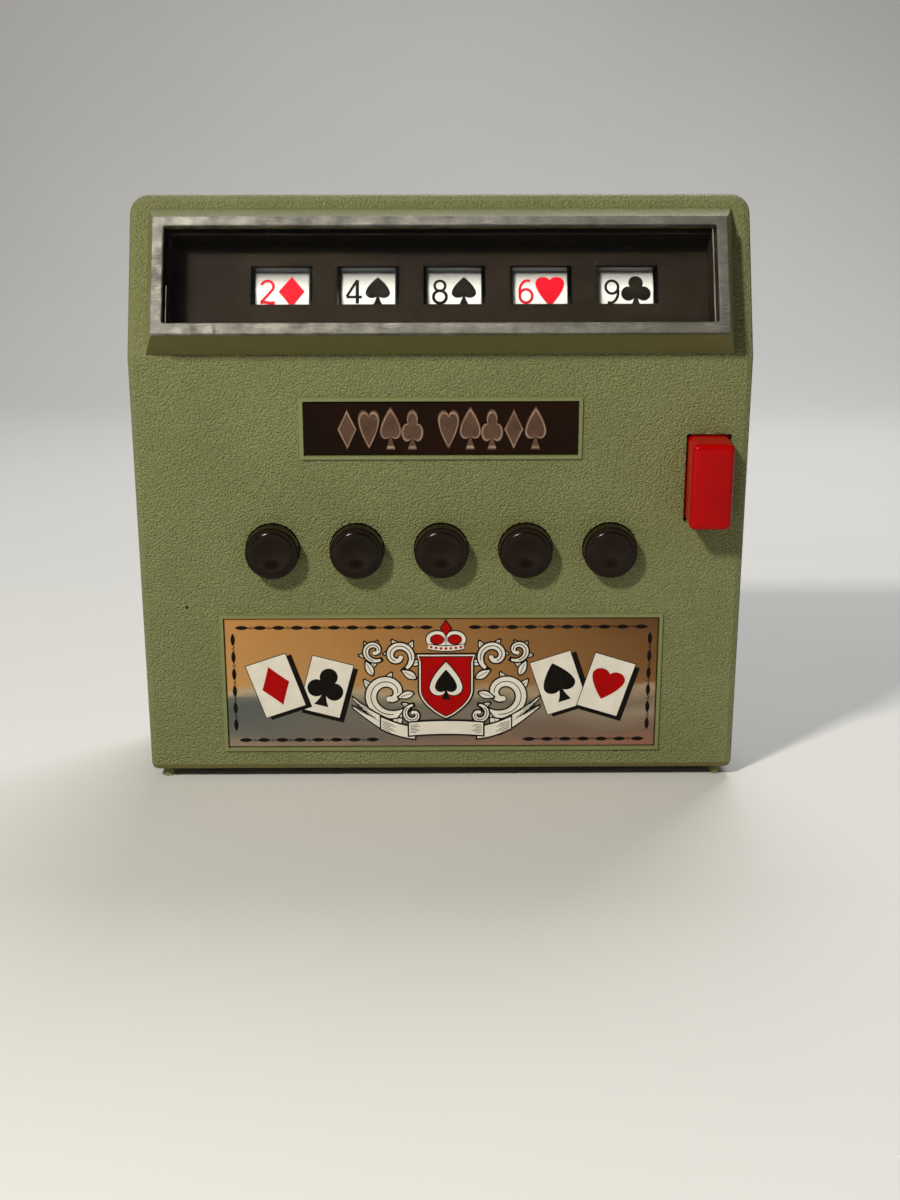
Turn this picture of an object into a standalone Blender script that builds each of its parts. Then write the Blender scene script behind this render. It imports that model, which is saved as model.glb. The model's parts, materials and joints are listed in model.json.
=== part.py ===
"""Tabletop electric draw-poker machine: a wedge-shaped plastic case with five card reels behind a
hooded window, five hold buttons and a start bar.

The case stands on four small feet. +X is to the right, +Y goes in from the front, +Z is up.
Lengths are in metres, written as millimetres times MM. In the case's own axes y = 0 is the front
face's bottom edge and z = 0 is the surface under the feet.
"""

import math

import bmesh
import bpy
from mathutils import Euler, Matrix, Vector

MM = 0.001
CLEARANCE = 0.3 * MM

# Case
CASE_WIDTH = 168.0 * MM
CASE_HEIGHT = 165.0 * MM
CASE_DEPTH = 57.0 * MM
WALL = 2.2 * MM
FACE_LEAN = math.radians(8.45)
SHOULDER_LEAN = math.radians(18.0)
SHOULDER_HEIGHT = 42.8 * MM
CORNER_RADIUS = 5.0 * MM
EDGE_RADIUS = 1.8 * MM
FOOT_HEIGHT = 2.5 * MM
FOOT_RADIUS = 1.6 * MM
FOOT_INSET = 4.4 * MM

# Hood, bezel, lens and mask
HOOD_SIDE_MARGIN = 7.7 * MM
HOOD_PROUD = 11.3 * MM
HOOD_FLARE = 2.8 * MM
HOOD_RISE = 6.6 * MM
HOOD_TOP_DROP = 3.2 * MM
BEZEL_LEAN = math.radians(21.0)
BEZEL_HEIGHT = 32.5 * MM
BEZEL_THICKNESS = 1.6 * MM
BEZEL_BORDER = 3.1 * MM
BEZEL_TOP_BORDER = 2.6 * MM
LENS_THICKNESS = 1.5 * MM
LENS_LIP = 0.8 * MM
MASK_RECESS = 12.0 * MM
MASK_WALL = 1.4 * MM
MASK_INSET = 0.9 * MM
WINDOW_WIDTH = 16.7 * MM
WINDOW_HEIGHT = 10.8 * MM
WINDOW_RISE = 17.5 * MM

# Reels
REEL_COUNT = 5
REEL_PITCH = 23.36 * MM
REEL_SHIFT = 3.8 * MM
REEL_RADIUS = 24.0 * MM
REEL_WIDTH = 15.0 * MM
REEL_TO_MASK = 1.6 * MM
STRIP_THICKNESS = 0.5 * MM
DRUM_WALL = 1.8 * MM
CARDS_PER_REEL = 12
STOP_WHEEL_RADIUS = 15.0 * MM
STOP_NOTCH_DEPTH = 3.0 * MM
STOP_NOTCH_WIDTH = 4.2 * MM
STOP_WHEEL_THICKNESS = 1.6 * MM
STOP_WHEEL_GAP = 2.1 * MM
HUB_RADIUS = 6.0 * MM
SHAFT_RADIUS = 3.0 * MM

# Hold buttons and levers
BUTTON_RISE = 67.0 * MM
BUTTON_HOLE_RADIUS = 7.7 * MM
BUTTON_PROUD = 4.8 * MM
BUTTON_DISH = 0.9 * MM
BUTTON_TRAVEL = 3.0 * MM
BUTTON_SPRING_WIRE = 0.35 * MM
SPRING_SPACE = 7.7 * MM
FLANGE_LIP = 1.0 * MM
FLANGE_THICKNESS = 1.5 * MM
STEM_RADIUS = 2.5 * MM
STEM_END = 40.0 * MM
GUIDE_THICKNESS = 1.6 * MM
LEVER_ROD_RADIUS = 1.5 * MM
LEVER_HUB_RADIUS = 3.0 * MM
LEVER_ROD_ANGLE = math.radians(-59.8)
LEVER_HUB_GAP = 3.2 * MM
LEVER_ARM_WIDTH = 2.4 * MM

# Start bar
START_SLOT_WIDTH = 12.3 * MM
START_SLOT_HEIGHT = 24.9 * MM
START_SLOT_RISE = 87.05 * MM
START_SLOT_SIDE = 11.05 * MM
START_BAR_PROUD = 10.5 * MM
START_TRAVEL = 5.5 * MM
START_SPRING_WIRE = 0.4 * MM
START_STEM_RADIUS = 3.0 * MM
START_STEM_END = 20.2 * MM

# Plates on the main face
NAMEPLATE_WIDTH = 74.2 * MM
NAMEPLATE_HEIGHT = 14.6 * MM
NAMEPLATE_RISE = 101.35 * MM
EMBLEM_WIDTH = 122.2 * MM
EMBLEM_HEIGHT = 39.1 * MM
EMBLEM_RISE = 26.95 * MM
PLATE_THICKNESS = 0.7 * MM
POCKET_DEPTH = 0.9 * MM
RIM_WIDTH = 1.2 * MM
RIM_PROUD = 0.6 * MM

# Movement frame and drive
FRAME_THICKNESS = 1.5 * MM
FRAME_GAP = 2.6 * MM
FRAME_FOOT = 50.0 * MM
TIE_BAR_RADIUS = 2.5 * MM
TIE_BAR_PIN_RADIUS = 1.2 * MM
TIE_BAR_GAP = 3.3 * MM
TIE_BAR_ANGLE = math.radians(39.6)
GEAR_MODULE = 1.0 * MM
GEAR_TEETH = 36
PINION_TEETH = 12
GEAR_BACKLASH = 0.25 * MM
GEAR_WIDTH = 3.0 * MM
PULLEY_WIDTH = 3.4 * MM
IDLER_PULLEY_RADIUS = 12.0 * MM
MOTOR_PULLEY_RADIUS = 3.0 * MM
GROOVE_DEPTH = 1.4 * MM
BELT_RADIUS = 0.8 * MM
BELT_GAP = 0.4 * MM
IDLER_AXLE_RADIUS = 1.25 * MM
MOTOR_RADIUS = 11.0 * MM
MOTOR_LENGTH = 30.0 * MM
MOTOR_BOSS_RADIUS = 3.0 * MM
MOTOR_SHAFT_RADIUS = 1.0 * MM
MOTOR_Z = 60.0 * MM

# Rear cover, batteries and screws
COVER_THICKNESS = 2.4 * MM
POST_RADIUS = 4.2 * MM
POST_MARGIN = 3.5 * MM
SCREW_RADIUS = 1.4 * MM
SCREW_HEAD_RADIUS = 2.8 * MM
SCREW_LENGTH = 12.0 * MM
CELL_RADIUS = 17.1 * MM
CELL_LENGTH = 61.0 * MM
CELL_NUB_RADIUS = 4.7 * MM
CELL_NUB_HEIGHT = 1.5 * MM
CELL_BACK_GAP = 3.9 * MM
CELL_FLOOR_GAP = 5.1 * MM
TRAY_WALL = 1.5 * MM
TRAY_GAP = 0.8 * MM
CONTACT_SPACE = 2.0 * MM
CONTACT_SHEET = 0.4 * MM
CONTACT_TAB_RISE = 2.6 * MM
DOOR_THICKNESS = 2.2 * MM
DOOR_PIN_RADIUS = 0.7 * MM
DOOR_HEIGHT = 36.0 * MM
DOOR_SIDE_MARGIN = 4.0 * MM
DOOR_LUG_WIDTH = 2.2 * MM

# Worked out from the sizes above
FACE_BOTTOM = Vector((0.0, 0.0, FOOT_HEIGHT))
KINK_Z = CASE_HEIGHT - SHOULDER_HEIGHT
KINK_Y = -(KINK_Z - FOOT_HEIGHT) * math.tan(FACE_LEAN)
TOP_FRONT_Y = KINK_Y + SHOULDER_HEIGHT * math.tan(SHOULDER_LEAN)
BEZEL_WIDTH = CASE_WIDTH - 2 * HOOD_SIDE_MARGIN
BEZEL_UP = Vector((0.0, math.sin(BEZEL_LEAN), math.cos(BEZEL_LEAN)))
BEZEL_OUT = Vector((0.0, -math.cos(BEZEL_LEAN), math.sin(BEZEL_LEAN)))
BEZEL_BOTTOM_Y = KINK_Y + HOOD_RISE * math.tan(SHOULDER_LEAN) - HOOD_PROUD
BEZEL_BOTTOM = Vector((0.0, BEZEL_BOTTOM_Y, KINK_Z + HOOD_RISE))
BEZEL_CENTRE = BEZEL_BOTTOM + BEZEL_UP * BEZEL_HEIGHT / 2
WINDOW_CENTRE = BEZEL_BOTTOM + BEZEL_UP * WINDOW_RISE - BEZEL_OUT * MASK_RECESS
REEL_AXIS = WINDOW_CENTRE - BEZEL_OUT * (MASK_WALL + REEL_TO_MASK + REEL_RADIUS)

def from_reels(angle, distance):
    """The point at this distance from the reels' axis, at this angle up from straight back."""
    return REEL_AXIS + Vector((0.0, math.cos(angle), math.sin(angle))) * distance


LEVER_AXIS = from_reels(LEVER_ROD_ANGLE, REEL_RADIUS + LEVER_HUB_GAP + LEVER_HUB_RADIUS)
TIE_BAR_AXIS = from_reels(TIE_BAR_ANGLE, REEL_RADIUS + TIE_BAR_GAP + TIE_BAR_RADIUS)
COVER_INNER_Y = CASE_DEPTH - COVER_THICKNESS
DEPTH_CENTRE = (CASE_DEPTH + BEZEL_BOTTOM_Y) / 2
POST_INSET = WALL + POST_MARGIN
STOP_WHEEL_OFFSET = -(REEL_WIDTH / 2 + STOP_WHEEL_GAP)
BUTTON_RADIUS = BUTTON_HOLE_RADIUS - CLEARANCE
FLANGE_SEAT = WALL + 2 * CLEARANCE
GUIDE_DEPTH = FLANGE_SEAT + FLANGE_THICKNESS + BUTTON_TRAVEL + SPRING_SPACE
FRAME_LEFT = REEL_SHIFT - 2 * REEL_PITCH - REEL_WIDTH / 2 - 5.5 * MM - FRAME_GAP
FRAME_RIGHT = REEL_SHIFT + 2 * REEL_PITCH + REEL_WIDTH / 2 + FRAME_GAP + 0.4 * MM
START_X = CASE_WIDTH / 2 - START_SLOT_SIDE
GEAR_X = FRAME_LEFT - FRAME_THICKNESS - 4.0 * MM
PULLEY_X = GEAR_X - GEAR_WIDTH - 2.5 * MM
GEAR_RADIUS = GEAR_MODULE * GEAR_TEETH / 2
PINION_RADIUS = GEAR_MODULE * PINION_TEETH / 2
CELL_Y = COVER_INNER_Y - CELL_RADIUS - CELL_BACK_GAP
CELL_Z = FOOT_HEIGHT + WALL + CELL_RADIUS + CELL_FLOOR_GAP
TRAY_HALF = CELL_LENGTH + CONTACT_SPACE
MOTOR_AXIS = Vector((0.0, CELL_Y + 5.3 * MM, MOTOR_Z))
GEAR_DISTANCE = GEAR_RADIUS + PINION_RADIUS + GEAR_BACKLASH
IDLER_DIRECTION = (MOTOR_AXIS - REEL_AXIS).normalized()
IDLER_AXIS = REEL_AXIS + IDLER_DIRECTION * GEAR_DISTANCE

# Local z along +X, local x along +Y, local y along +Z
ALONG_X = Matrix(((0, 0, 1), (1, 0, 0), (0, 1, 0))).to_euler()
# Local z out of the main face, local y up it
ON_FACE = Euler((math.pi / 2 + FACE_LEAN, 0.0, 0.0))
# Local z out of the bezel, local y up it
ON_BEZEL = Euler((math.pi / 2 - BEZEL_LEAN, 0.0, 0.0))
# Local z out of the back, local y up, local x to the left
ON_BACK = Matrix(((-1, 0, 0), (0, 0, 1), (0, 1, 0))).to_euler()

FINISHES = {
    "green_plastic": ((0.16, 0.19, 0.075), 0.55, 0.0),
    "brushed_aluminium": ((0.62, 0.61, 0.58), 0.35, 1.0),
    "clear_lens": ((0.9, 0.92, 0.92), 0.05, 0.0),
    "mask_brown": ((0.03, 0.024, 0.018), 0.45, 0.0),
    "nameplate_brown": ((0.05, 0.02, 0.012), 0.4, 0.3),
    "gold_foil": ((0.62, 0.42, 0.16), 0.15, 1.0),
    "red_plastic": ((0.6, 0.012, 0.01), 0.25, 0.0),
    "button_brown": ((0.02, 0.014, 0.011), 0.2, 0.0),
    "reel_plastic": ((0.75, 0.75, 0.72), 0.45, 0.0),
    "card_paper": ((0.85, 0.85, 0.83), 0.5, 0.0),
    "steel": ((0.55, 0.55, 0.55), 0.35, 1.0),
    "zinc_plate": ((0.6, 0.6, 0.58), 0.45, 1.0),
    "white_nylon": ((0.8, 0.78, 0.7), 0.45, 0.0),
    "black_rubber": ((0.02, 0.02, 0.02), 0.7, 0.0),
    "tray_plastic": ((0.03, 0.03, 0.03), 0.5, 0.0),
    "cell_jacket": ((0.1, 0.16, 0.4), 0.35, 0.2),
    "brass": ((0.6, 0.42, 0.16), 0.35, 1.0),
    "red_wire": ((0.5, 0.02, 0.02), 0.4, 0.0),
    "black_wire": ((0.02, 0.02, 0.02), 0.4, 0.0),
}


# ---------------------------------------------------------------- scene and helpers


def clear_scene():
    for obj in list(bpy.data.objects):
        bpy.data.objects.remove(obj, do_unlink=True)


def make_collection(name):
    collection = bpy.data.collections.new(name)
    bpy.context.scene.collection.children.link(collection)
    return collection


def make_material(name):
    colour, roughness, metallic = FINISHES[name]
    material = bpy.data.materials.new(name)
    material.use_nodes = True
    shader = material.node_tree.nodes["Principled BSDF"]
    shader.inputs["Base Color"].default_value = (*colour, 1.0)
    shader.inputs["Roughness"].default_value = roughness
    shader.inputs["Metallic"].default_value = metallic
    material.diffuse_color = (*colour, 1.0)
    return material


clear_scene()
PARTS = make_collection("draw_poker_machine")
CUTTERS = make_collection("cutters")
MATERIALS = {name: make_material(name) for name in FINISHES}
CASE_ORIGIN = bpy.data.objects.new("case_origin", None)
PARTS.objects.link(CASE_ORIGIN)
CASE_ORIGIN.location = (0.0, -DEPTH_CENTRE, 0.0)


def on_face(x, rise, depth=0.0):
    """The point at this x, this far up the main face and this deep behind it."""
    up = Vector((0.0, -math.sin(FACE_LEAN), math.cos(FACE_LEAN)))
    inward = Vector((0.0, math.cos(FACE_LEAN), math.sin(FACE_LEAN)))
    return Vector((x, 0.0, 0.0)) + FACE_BOTTOM + up * rise + inward * depth


def at_x(point, x):
    return Vector((x, point.y, point.z))


def add_object(name, data, at=(0, 0, 0), turn=None, finish=None):
    """Links an object under the case's origin, as a part if it has a finish, else as a cutter."""
    obj = bpy.data.objects.new(name, data)
    obj.parent = CASE_ORIGIN
    obj.location = at
    if turn is not None:
        obj.rotation_euler = turn
    if finish is None:
        CUTTERS.objects.link(obj)
        obj.hide_render = True
        obj.display_type = "WIRE"
    else:
        PARTS.objects.link(obj)
        data.materials.append(MATERIALS[finish])
    return obj


def mesh_from(bm, name, smooth=False):
    bmesh.ops.recalc_face_normals(bm, faces=bm.faces)
    mesh = bpy.data.meshes.new(name)
    bm.to_mesh(mesh)
    bm.free()
    if smooth:
        mesh.shade_smooth()
        mesh.set_sharp_from_angle(angle=math.radians(35))
    return mesh


def block(name, low, high, bevel=0.0, segments=2):
    """A box mesh between two corners, its edges rounded by bevel."""
    bm = bmesh.new()
    bmesh.ops.create_cube(bm, size=1.0)
    low, high = Vector(low), Vector(high)
    size = high - low
    bmesh.ops.scale(bm, vec=size, verts=bm.verts)
    bmesh.ops.translate(bm, vec=(low + high) / 2, verts=bm.verts)
    if bevel:
        bmesh.ops.bevel(
            bm, geom=bm.edges, offset=bevel, segments=segments, profile=0.5, affect="EDGES"
        )
    return mesh_from(bm, name)


def rods(name, centres, radius, low, high, segments=24):
    """Round rods along local z, one at each (x, y) centre."""
    bm = bmesh.new()
    for x, y in centres:
        bmesh.ops.create_cone(
            bm,
            cap_ends=True,
            segments=segments,
            radius1=radius,
            radius2=radius,
            depth=high - low,
            matrix=Matrix.Translation((x, y, (low + high) / 2)),
        )
    return mesh_from(bm, name, smooth=True)


def flat(name, outlines, low, high):
    """A flat piece in local x and y between two local z heights; later outlines are its holes."""
    curve = bpy.data.curves.new(name, "CURVE")
    curve.dimensions = "2D"
    curve.fill_mode = "BOTH"
    curve.extrude = (high - low) / 2
    for outline in outlines:
        spline = curve.splines.new("POLY")
        spline.points.add(len(outline) - 1)
        for point, (x, y) in zip(spline.points, outline):
            point.co = (x, y, 0.0, 1.0)
        spline.use_cyclic_u = True
    mesh = mesh_of_curve(name, curve)
    mesh.transform(Matrix.Translation((0, 0, (low + high) / 2)))
    return mesh


def mesh_of_curve(name, curve):
    """The curve as one closed mesh, its loose caps welded on."""
    holder = bpy.data.objects.new(name, curve)
    PARTS.objects.link(holder)
    graph = bpy.context.evaluated_depsgraph_get()
    mesh = bpy.data.meshes.new_from_object(holder.evaluated_get(graph))
    bpy.data.objects.remove(holder)
    bm = bmesh.new()
    bm.from_mesh(mesh)
    bmesh.ops.remove_doubles(bm, verts=bm.verts, dist=0.00001)
    bmesh.ops.dissolve_limit(bm, angle_limit=math.radians(1), verts=bm.verts, edges=bm.edges)
    bpy.data.meshes.remove(mesh)
    return mesh_from(bm, name)


def tube(name, points, radius, cyclic=False):
    """A round wire through the points, as a closed mesh."""
    curve = bpy.data.curves.new(name, "CURVE")
    curve.dimensions = "3D"
    curve.bevel_depth = radius
    curve.bevel_resolution = 2
    curve.use_fill_caps = True
    spline = curve.splines.new("POLY")
    spline.points.add(len(points) - 1)
    for point, place in zip(spline.points, points):
        point.co = (*place, 1.0)
    spline.use_cyclic_u = cyclic
    mesh = mesh_of_curve(name, curve)
    mesh.shade_smooth()
    return mesh


def turned(name, profile, finish, at, turn, steps=24):
    """A piece turned about local z; the profile runs down its outer side from top to bottom."""
    mesh = bpy.data.meshes.new(name)
    edges = [(i, i + 1) for i in range(len(profile) - 1)]
    mesh.from_pydata([(r, 0.0, z) for r, z in profile], edges, [])
    obj = add_object(name, mesh, at, turn, finish)
    screw = obj.modifiers.new("turn", "SCREW")
    screw.steps = steps
    screw.render_steps = steps
    screw.use_merge_vertices = True
    screw.merge_threshold = 0.00001
    screw.use_smooth_shade = True
    return obj


def ring_profile(bore, outer):
    """A closed turning profile: down the outer points, then back up the bore."""
    return outer + [(bore, outer[-1][1]), (bore, outer[0][1]), outer[0]]


def boolean(obj, other, operation):
    modifier = obj.modifiers.new(other.name, "BOOLEAN")
    modifier.operation = operation
    modifier.object = other
    modifier.solver = "EXACT"


def cut(obj, other):
    boolean(obj, other, "DIFFERENCE")


def join(obj, other):
    boolean(obj, other, "UNION")


def circle(centre, radius, count=24):
    steps = [2 * math.pi * i / count for i in range(count)]
    return [(centre[0] + radius * math.cos(a), centre[1] + radius * math.sin(a)) for a in steps]


def rectangle(low_x, low_y, high_x, high_y):
    return [(low_x, low_y), (high_x, low_y), (high_x, high_y), (low_x, high_y)]


def rounded_rectangle(low_x, low_y, high_x, high_y, radius, count=4):
    """A rectangle with quarter-circle corners."""
    centres = (
        (high_x - radius, high_y - radius),
        (low_x + radius, high_y - radius),
        (low_x + radius, low_y + radius),
        (high_x - radius, low_y + radius),
    )
    points = []
    for corner, (x, y) in enumerate(centres):
        for i in range(count + 1):
            angle = math.pi / 2 * (corner + i / count)
            points.append((x + radius * math.cos(angle), y + radius * math.sin(angle)))
    return points


def inset(outline, distance):
    """A convex outline moved in by a distance, its corners where the moved sides cross."""
    moved = []
    count = len(outline)
    centre = Vector((sum(p[0] for p in outline), sum(p[1] for p in outline))) / count
    lines = []
    for i in range(count):
        start, end = Vector(outline[i]), Vector(outline[(i + 1) % count])
        along = (end - start).normalized()
        normal = Vector((-along.y, along.x))
        if normal.dot(centre - start) < 0:
            normal = -normal
        lines.append((start + normal * distance, along))
    for i in range(count):
        (p, d), (q, e) = lines[i - 1], lines[i]
        step = ((q - p).x * e.y - (q - p).y * e.x) / (d.x * e.y - d.y * e.x)
        moved.append(tuple(p + d * step))
    return moved


def smooth_route(points, per_span=5):
    """Points along one smooth curve through the given ones."""
    ends = [points[0] * 2 - points[1], *points, points[-1] * 2 - points[-2]]
    route = []
    for a, b, c, d in zip(ends, ends[1:], ends[2:], ends[3:]):
        for i in range(per_span):
            t = i / per_span
            bend = 2 * a - 5 * b + 4 * c - d
            twist = 3 * b - 3 * c + d - a
            route.append(b + ((c - a) * t + bend * t * t + twist * t * t * t) / 2)
    return [*route, points[-1]]


# ---------------------------------------------------------------- case


def case_profile():
    """The case's side outline as (y, z) points."""
    return [
        (0.0, FOOT_HEIGHT),
        (CASE_DEPTH, FOOT_HEIGHT),
        (CASE_DEPTH, CASE_HEIGHT),
        (TOP_FRONT_Y, CASE_HEIGHT),
        (KINK_Y, KINK_Z),
    ]


def post_places():
    """The (x, z) of the four cover posts, in the case's corners."""
    side = CASE_WIDTH / 2 - POST_INSET
    return [
        (x, z)
        for z in (FOOT_HEIGHT + POST_INSET, CASE_HEIGHT - POST_INSET)
        for x in (-side, side)
    ]


def case_block():
    """The solid wedge of the case with its rounded edges."""
    half = CASE_WIDTH / 2
    mesh = flat("front_case", [case_profile()], -half, half)
    bm = bmesh.new()
    bm.from_mesh(mesh)

    def middle(edge):
        return (edge.verts[0].co + edge.verts[1].co) / 2

    top = [
        e
        for e in bm.edges
        if abs(middle(e).z) > half * 0.99
        and e.verts[0].co.y > CASE_HEIGHT * 0.99
        and e.verts[1].co.y > CASE_HEIGHT * 0.99
    ]
    bmesh.ops.bevel(
        bm, geom=top, offset=CORNER_RADIUS, segments=5, profile=0.5, affect="EDGES"
    )
    back = CASE_DEPTH - 0.0001
    rest = [
        e
        for e in bm.edges
        if not (e.verts[0].co.x > back and e.verts[1].co.x > back)
        and len(e.link_faces) == 2
        and e.calc_face_angle() > math.radians(20)
        and not (
            min(e.verts[0].co.x, e.verts[1].co.x) < KINK_Y + 0.0001
            and abs(e.verts[0].co.z - e.verts[1].co.z) > half
        )
    ]
    bmesh.ops.bevel(bm, geom=rest, offset=EDGE_RADIUS, segments=2, profile=0.5, affect="EDGES")
    bm.to_mesh(mesh)
    bm.free()
    return mesh


def hood_block():
    """The hood: a block from inside the shoulder's wall to the back of the bezel."""
    front_half = BEZEL_WIDTH / 2
    back_half = front_half + HOOD_FLARE
    sink = WALL / 2
    seat = BEZEL_CENTRE - BEZEL_OUT * (BEZEL_THICKNESS + CLEARANCE)
    front_top = seat + BEZEL_UP * BEZEL_HEIGHT / 2
    front_bottom = seat - BEZEL_UP * BEZEL_HEIGHT / 2
    top_z = CASE_HEIGHT - HOOD_TOP_DROP
    back_top = Vector((0, KINK_Y + (top_z - KINK_Z) * math.tan(SHOULDER_LEAN) + sink, top_z))
    back_bottom = Vector((0, KINK_Y + sink, KINK_Z))
    bm = bmesh.new()
    bmesh.ops.create_cube(bm, size=2.0)
    for vert in bm.verts:
        front = vert.co.y < 0
        high = vert.co.z > 0
        ends = (front_top, front_bottom) if front else (back_top, back_bottom)
        half = front_half if front else back_half
        place = ends[0] if high else ends[1]
        vert.co = Vector((vert.co.x * half, place.y, place.z))
    return mesh_from(bm, "hood")


def rim_mesh(name, width, height, rise):
    """A raised moulded rim round a plate's pocket, sunk a little into the wall."""
    outer = rectangle(
        -width / 2 - RIM_WIDTH, rise - height / 2 - RIM_WIDTH,
        width / 2 + RIM_WIDTH, rise + height / 2 + RIM_WIDTH,
    )
    gap = CLEARANCE
    inner = rectangle(
        -width / 2 - gap, rise - height / 2 - gap, width / 2 + gap, rise + height / 2 + gap
    )
    return flat(name, [outer, inner], -POCKET_DEPTH, RIM_PROUD)


def pocket_mesh(name, width, height, rise):
    gap = CLEARANCE
    low = (-width / 2 - gap, rise - height / 2 - gap, -POCKET_DEPTH)
    high = (width / 2 + gap, rise + height / 2 + gap, 5 * RIM_PROUD)
    return block(name, low, high)


def make_front_case():
    case = add_object("front_case", case_block(), turn=ALONG_X, finish="green_plastic")
    inner = inset(case_profile(), WALL)
    inner[1] = (CASE_DEPTH + WALL, inner[1][1])
    inner[2] = (CASE_DEPTH + WALL, inner[2][1])
    half = CASE_WIDTH / 2 - WALL
    join(case, add_object("case_hood", hood_block()))
    cut(case, add_object("case_hollow", flat("case_hollow", [inner], -half, half), turn=ALONG_X))

    posts = [(-x, z) for x, z in post_places()]
    post_top = COVER_INNER_Y - CLEARANCE
    low = TOP_FRONT_Y + WALL / 2
    upper = rods("case_posts_upper", posts[2:], POST_RADIUS, low, post_top, 16)
    lower = rods("case_posts_lower", posts[:2], POST_RADIUS, WALL / 2, post_top, 16)
    join(case, add_object("case_posts_upper", upper, turn=ON_BACK))
    join(case, add_object("case_posts_lower", lower, turn=ON_BACK))
    bores = rods(
        "case_post_bores", posts, SCREW_RADIUS + CLEARANCE,
        post_top - SCREW_LENGTH, post_top + WALL, 12,
    )
    cut(case, add_object("case_post_bores", bores, turn=ON_BACK))

    feet = [
        (x, y)
        for x in (-CASE_WIDTH / 2 + FOOT_INSET, CASE_WIDTH / 2 - FOOT_INSET)
        for y in (FOOT_INSET, CASE_DEPTH - FOOT_INSET)
    ]
    foot_mesh = rods("case_feet", feet, FOOT_RADIUS, 0.0, FOOT_HEIGHT + WALL / 2, 16)
    join(case, add_object("case_feet", foot_mesh))

    at = FACE_BOTTOM
    for name, width, height, rise in (
        ("nameplate", NAMEPLATE_WIDTH, NAMEPLATE_HEIGHT, NAMEPLATE_RISE),
        ("emblem", EMBLEM_WIDTH, EMBLEM_HEIGHT, EMBLEM_RISE),
    ):
        rim = rim_mesh(name + "_rim", width, height, rise)
        pocket = pocket_mesh(name + "_pocket", width, height, rise)
        join(case, add_object(name + "_rim", rim, at, ON_FACE))
        cut(case, add_object(name + "_pocket", pocket, at, ON_FACE))

    centres = [(x, BUTTON_RISE) for x in button_places()]
    holes = rods("button_holes", centres, BUTTON_HOLE_RADIUS, -3 * WALL, 3 * WALL)
    cut(case, add_object("button_holes", holes, at, ON_FACE))
    slot = rounded_rectangle(
        START_X - START_SLOT_WIDTH / 2, START_SLOT_RISE - START_SLOT_HEIGHT / 2,
        START_X + START_SLOT_WIDTH / 2, START_SLOT_RISE + START_SLOT_HEIGHT / 2, 0.5 * MM, 2,
    )
    cut(case, add_object("start_slot", flat("start_slot", [slot], -3 * WALL, 3 * WALL), at, ON_FACE))

    gap = CLEARANCE
    wide, low_y, high_y = mask_outline()
    tunnel = block("hood_tunnel", (-wide - gap, low_y - gap, -30 * MM), (wide + gap, high_y + gap, 0))
    cut(case, add_object("hood_tunnel", tunnel, BEZEL_CENTRE, ON_BEZEL))
    wide, low_y, high_y = lens_outline()
    seat_z = -(BEZEL_THICKNESS + 3 * CLEARANCE + LENS_THICKNESS)
    seat = block("lens_seat", (-wide - gap, low_y - gap, seat_z), (wide + gap, high_y + gap, 0))
    cut(case, add_object("lens_seat", seat, BEZEL_CENTRE, ON_BEZEL))
    return case


# ---------------------------------------------------------------- window


def bezel_opening():
    """Half width, low and high y of the bezel's opening about the bezel's centre."""
    half = BEZEL_WIDTH / 2 - BEZEL_BORDER
    return half, -BEZEL_HEIGHT / 2 + BEZEL_BORDER, BEZEL_HEIGHT / 2 - BEZEL_TOP_BORDER


def lens_outline():
    half, low, high = bezel_opening()
    return half + LENS_LIP, low - LENS_LIP, high + LENS_LIP


def mask_outline():
    half, low, high = bezel_opening()
    return half - MASK_INSET + MASK_WALL, low - 0.2 * MM, high + 0.2 * MM


def make_bezel():
    half, low, high = bezel_opening()
    outer = rounded_rectangle(
        -BEZEL_WIDTH / 2, -BEZEL_HEIGHT / 2, BEZEL_WIDTH / 2, BEZEL_HEIGHT / 2, 0.6 * MM, 2
    )
    inner = rounded_rectangle(-half, low, half, high, 0.5 * MM, 2)
    mesh = flat("bezel_frame", [outer, inner], -BEZEL_THICKNESS, 0.0)
    return add_object("bezel_frame", mesh, BEZEL_CENTRE, ON_BEZEL, "brushed_aluminium")


def make_lens():
    half, low, high = lens_outline()
    front = -(BEZEL_THICKNESS + CLEARANCE)
    mesh = block("window_lens", (-half, low, front - LENS_THICKNESS), (half, high, front), 0.2 * MM, 1)
    return add_object("window_lens", mesh, BEZEL_CENTRE, ON_BEZEL, "clear_lens")


def make_mask():
    """A shallow tray behind the lens, its floor pierced by the five windows."""
    half, low, high = mask_outline()
    front = -(BEZEL_THICKNESS + 3 * CLEARANCE + LENS_THICKNESS)
    back = -(MASK_RECESS + MASK_WALL)
    tray = block("reel_mask", (-half, low, back), (half, high, front))
    mask = add_object("reel_mask", tray, BEZEL_CENTRE, ON_BEZEL, "mask_brown")
    hollow = block(
        "mask_hollow",
        (-half + MASK_WALL, low + MASK_WALL, -MASK_RECESS),
        (half - MASK_WALL, high - MASK_WALL, WALL),
    )
    cut(mask, add_object("mask_hollow", hollow, BEZEL_CENTRE, ON_BEZEL))
    rise = WINDOW_RISE - BEZEL_HEIGHT / 2
    for index, x in enumerate(reel_places()):
        window = block(
            f"window_{index + 1}",
            (x - WINDOW_WIDTH / 2, rise - WINDOW_HEIGHT / 2, back - WALL),
            (x + WINDOW_WIDTH / 2, rise + WINDOW_HEIGHT / 2, front),
        )
        cut(mask, add_object(f"window_{index + 1}", window, BEZEL_CENTRE, ON_BEZEL))
    return mask


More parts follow.
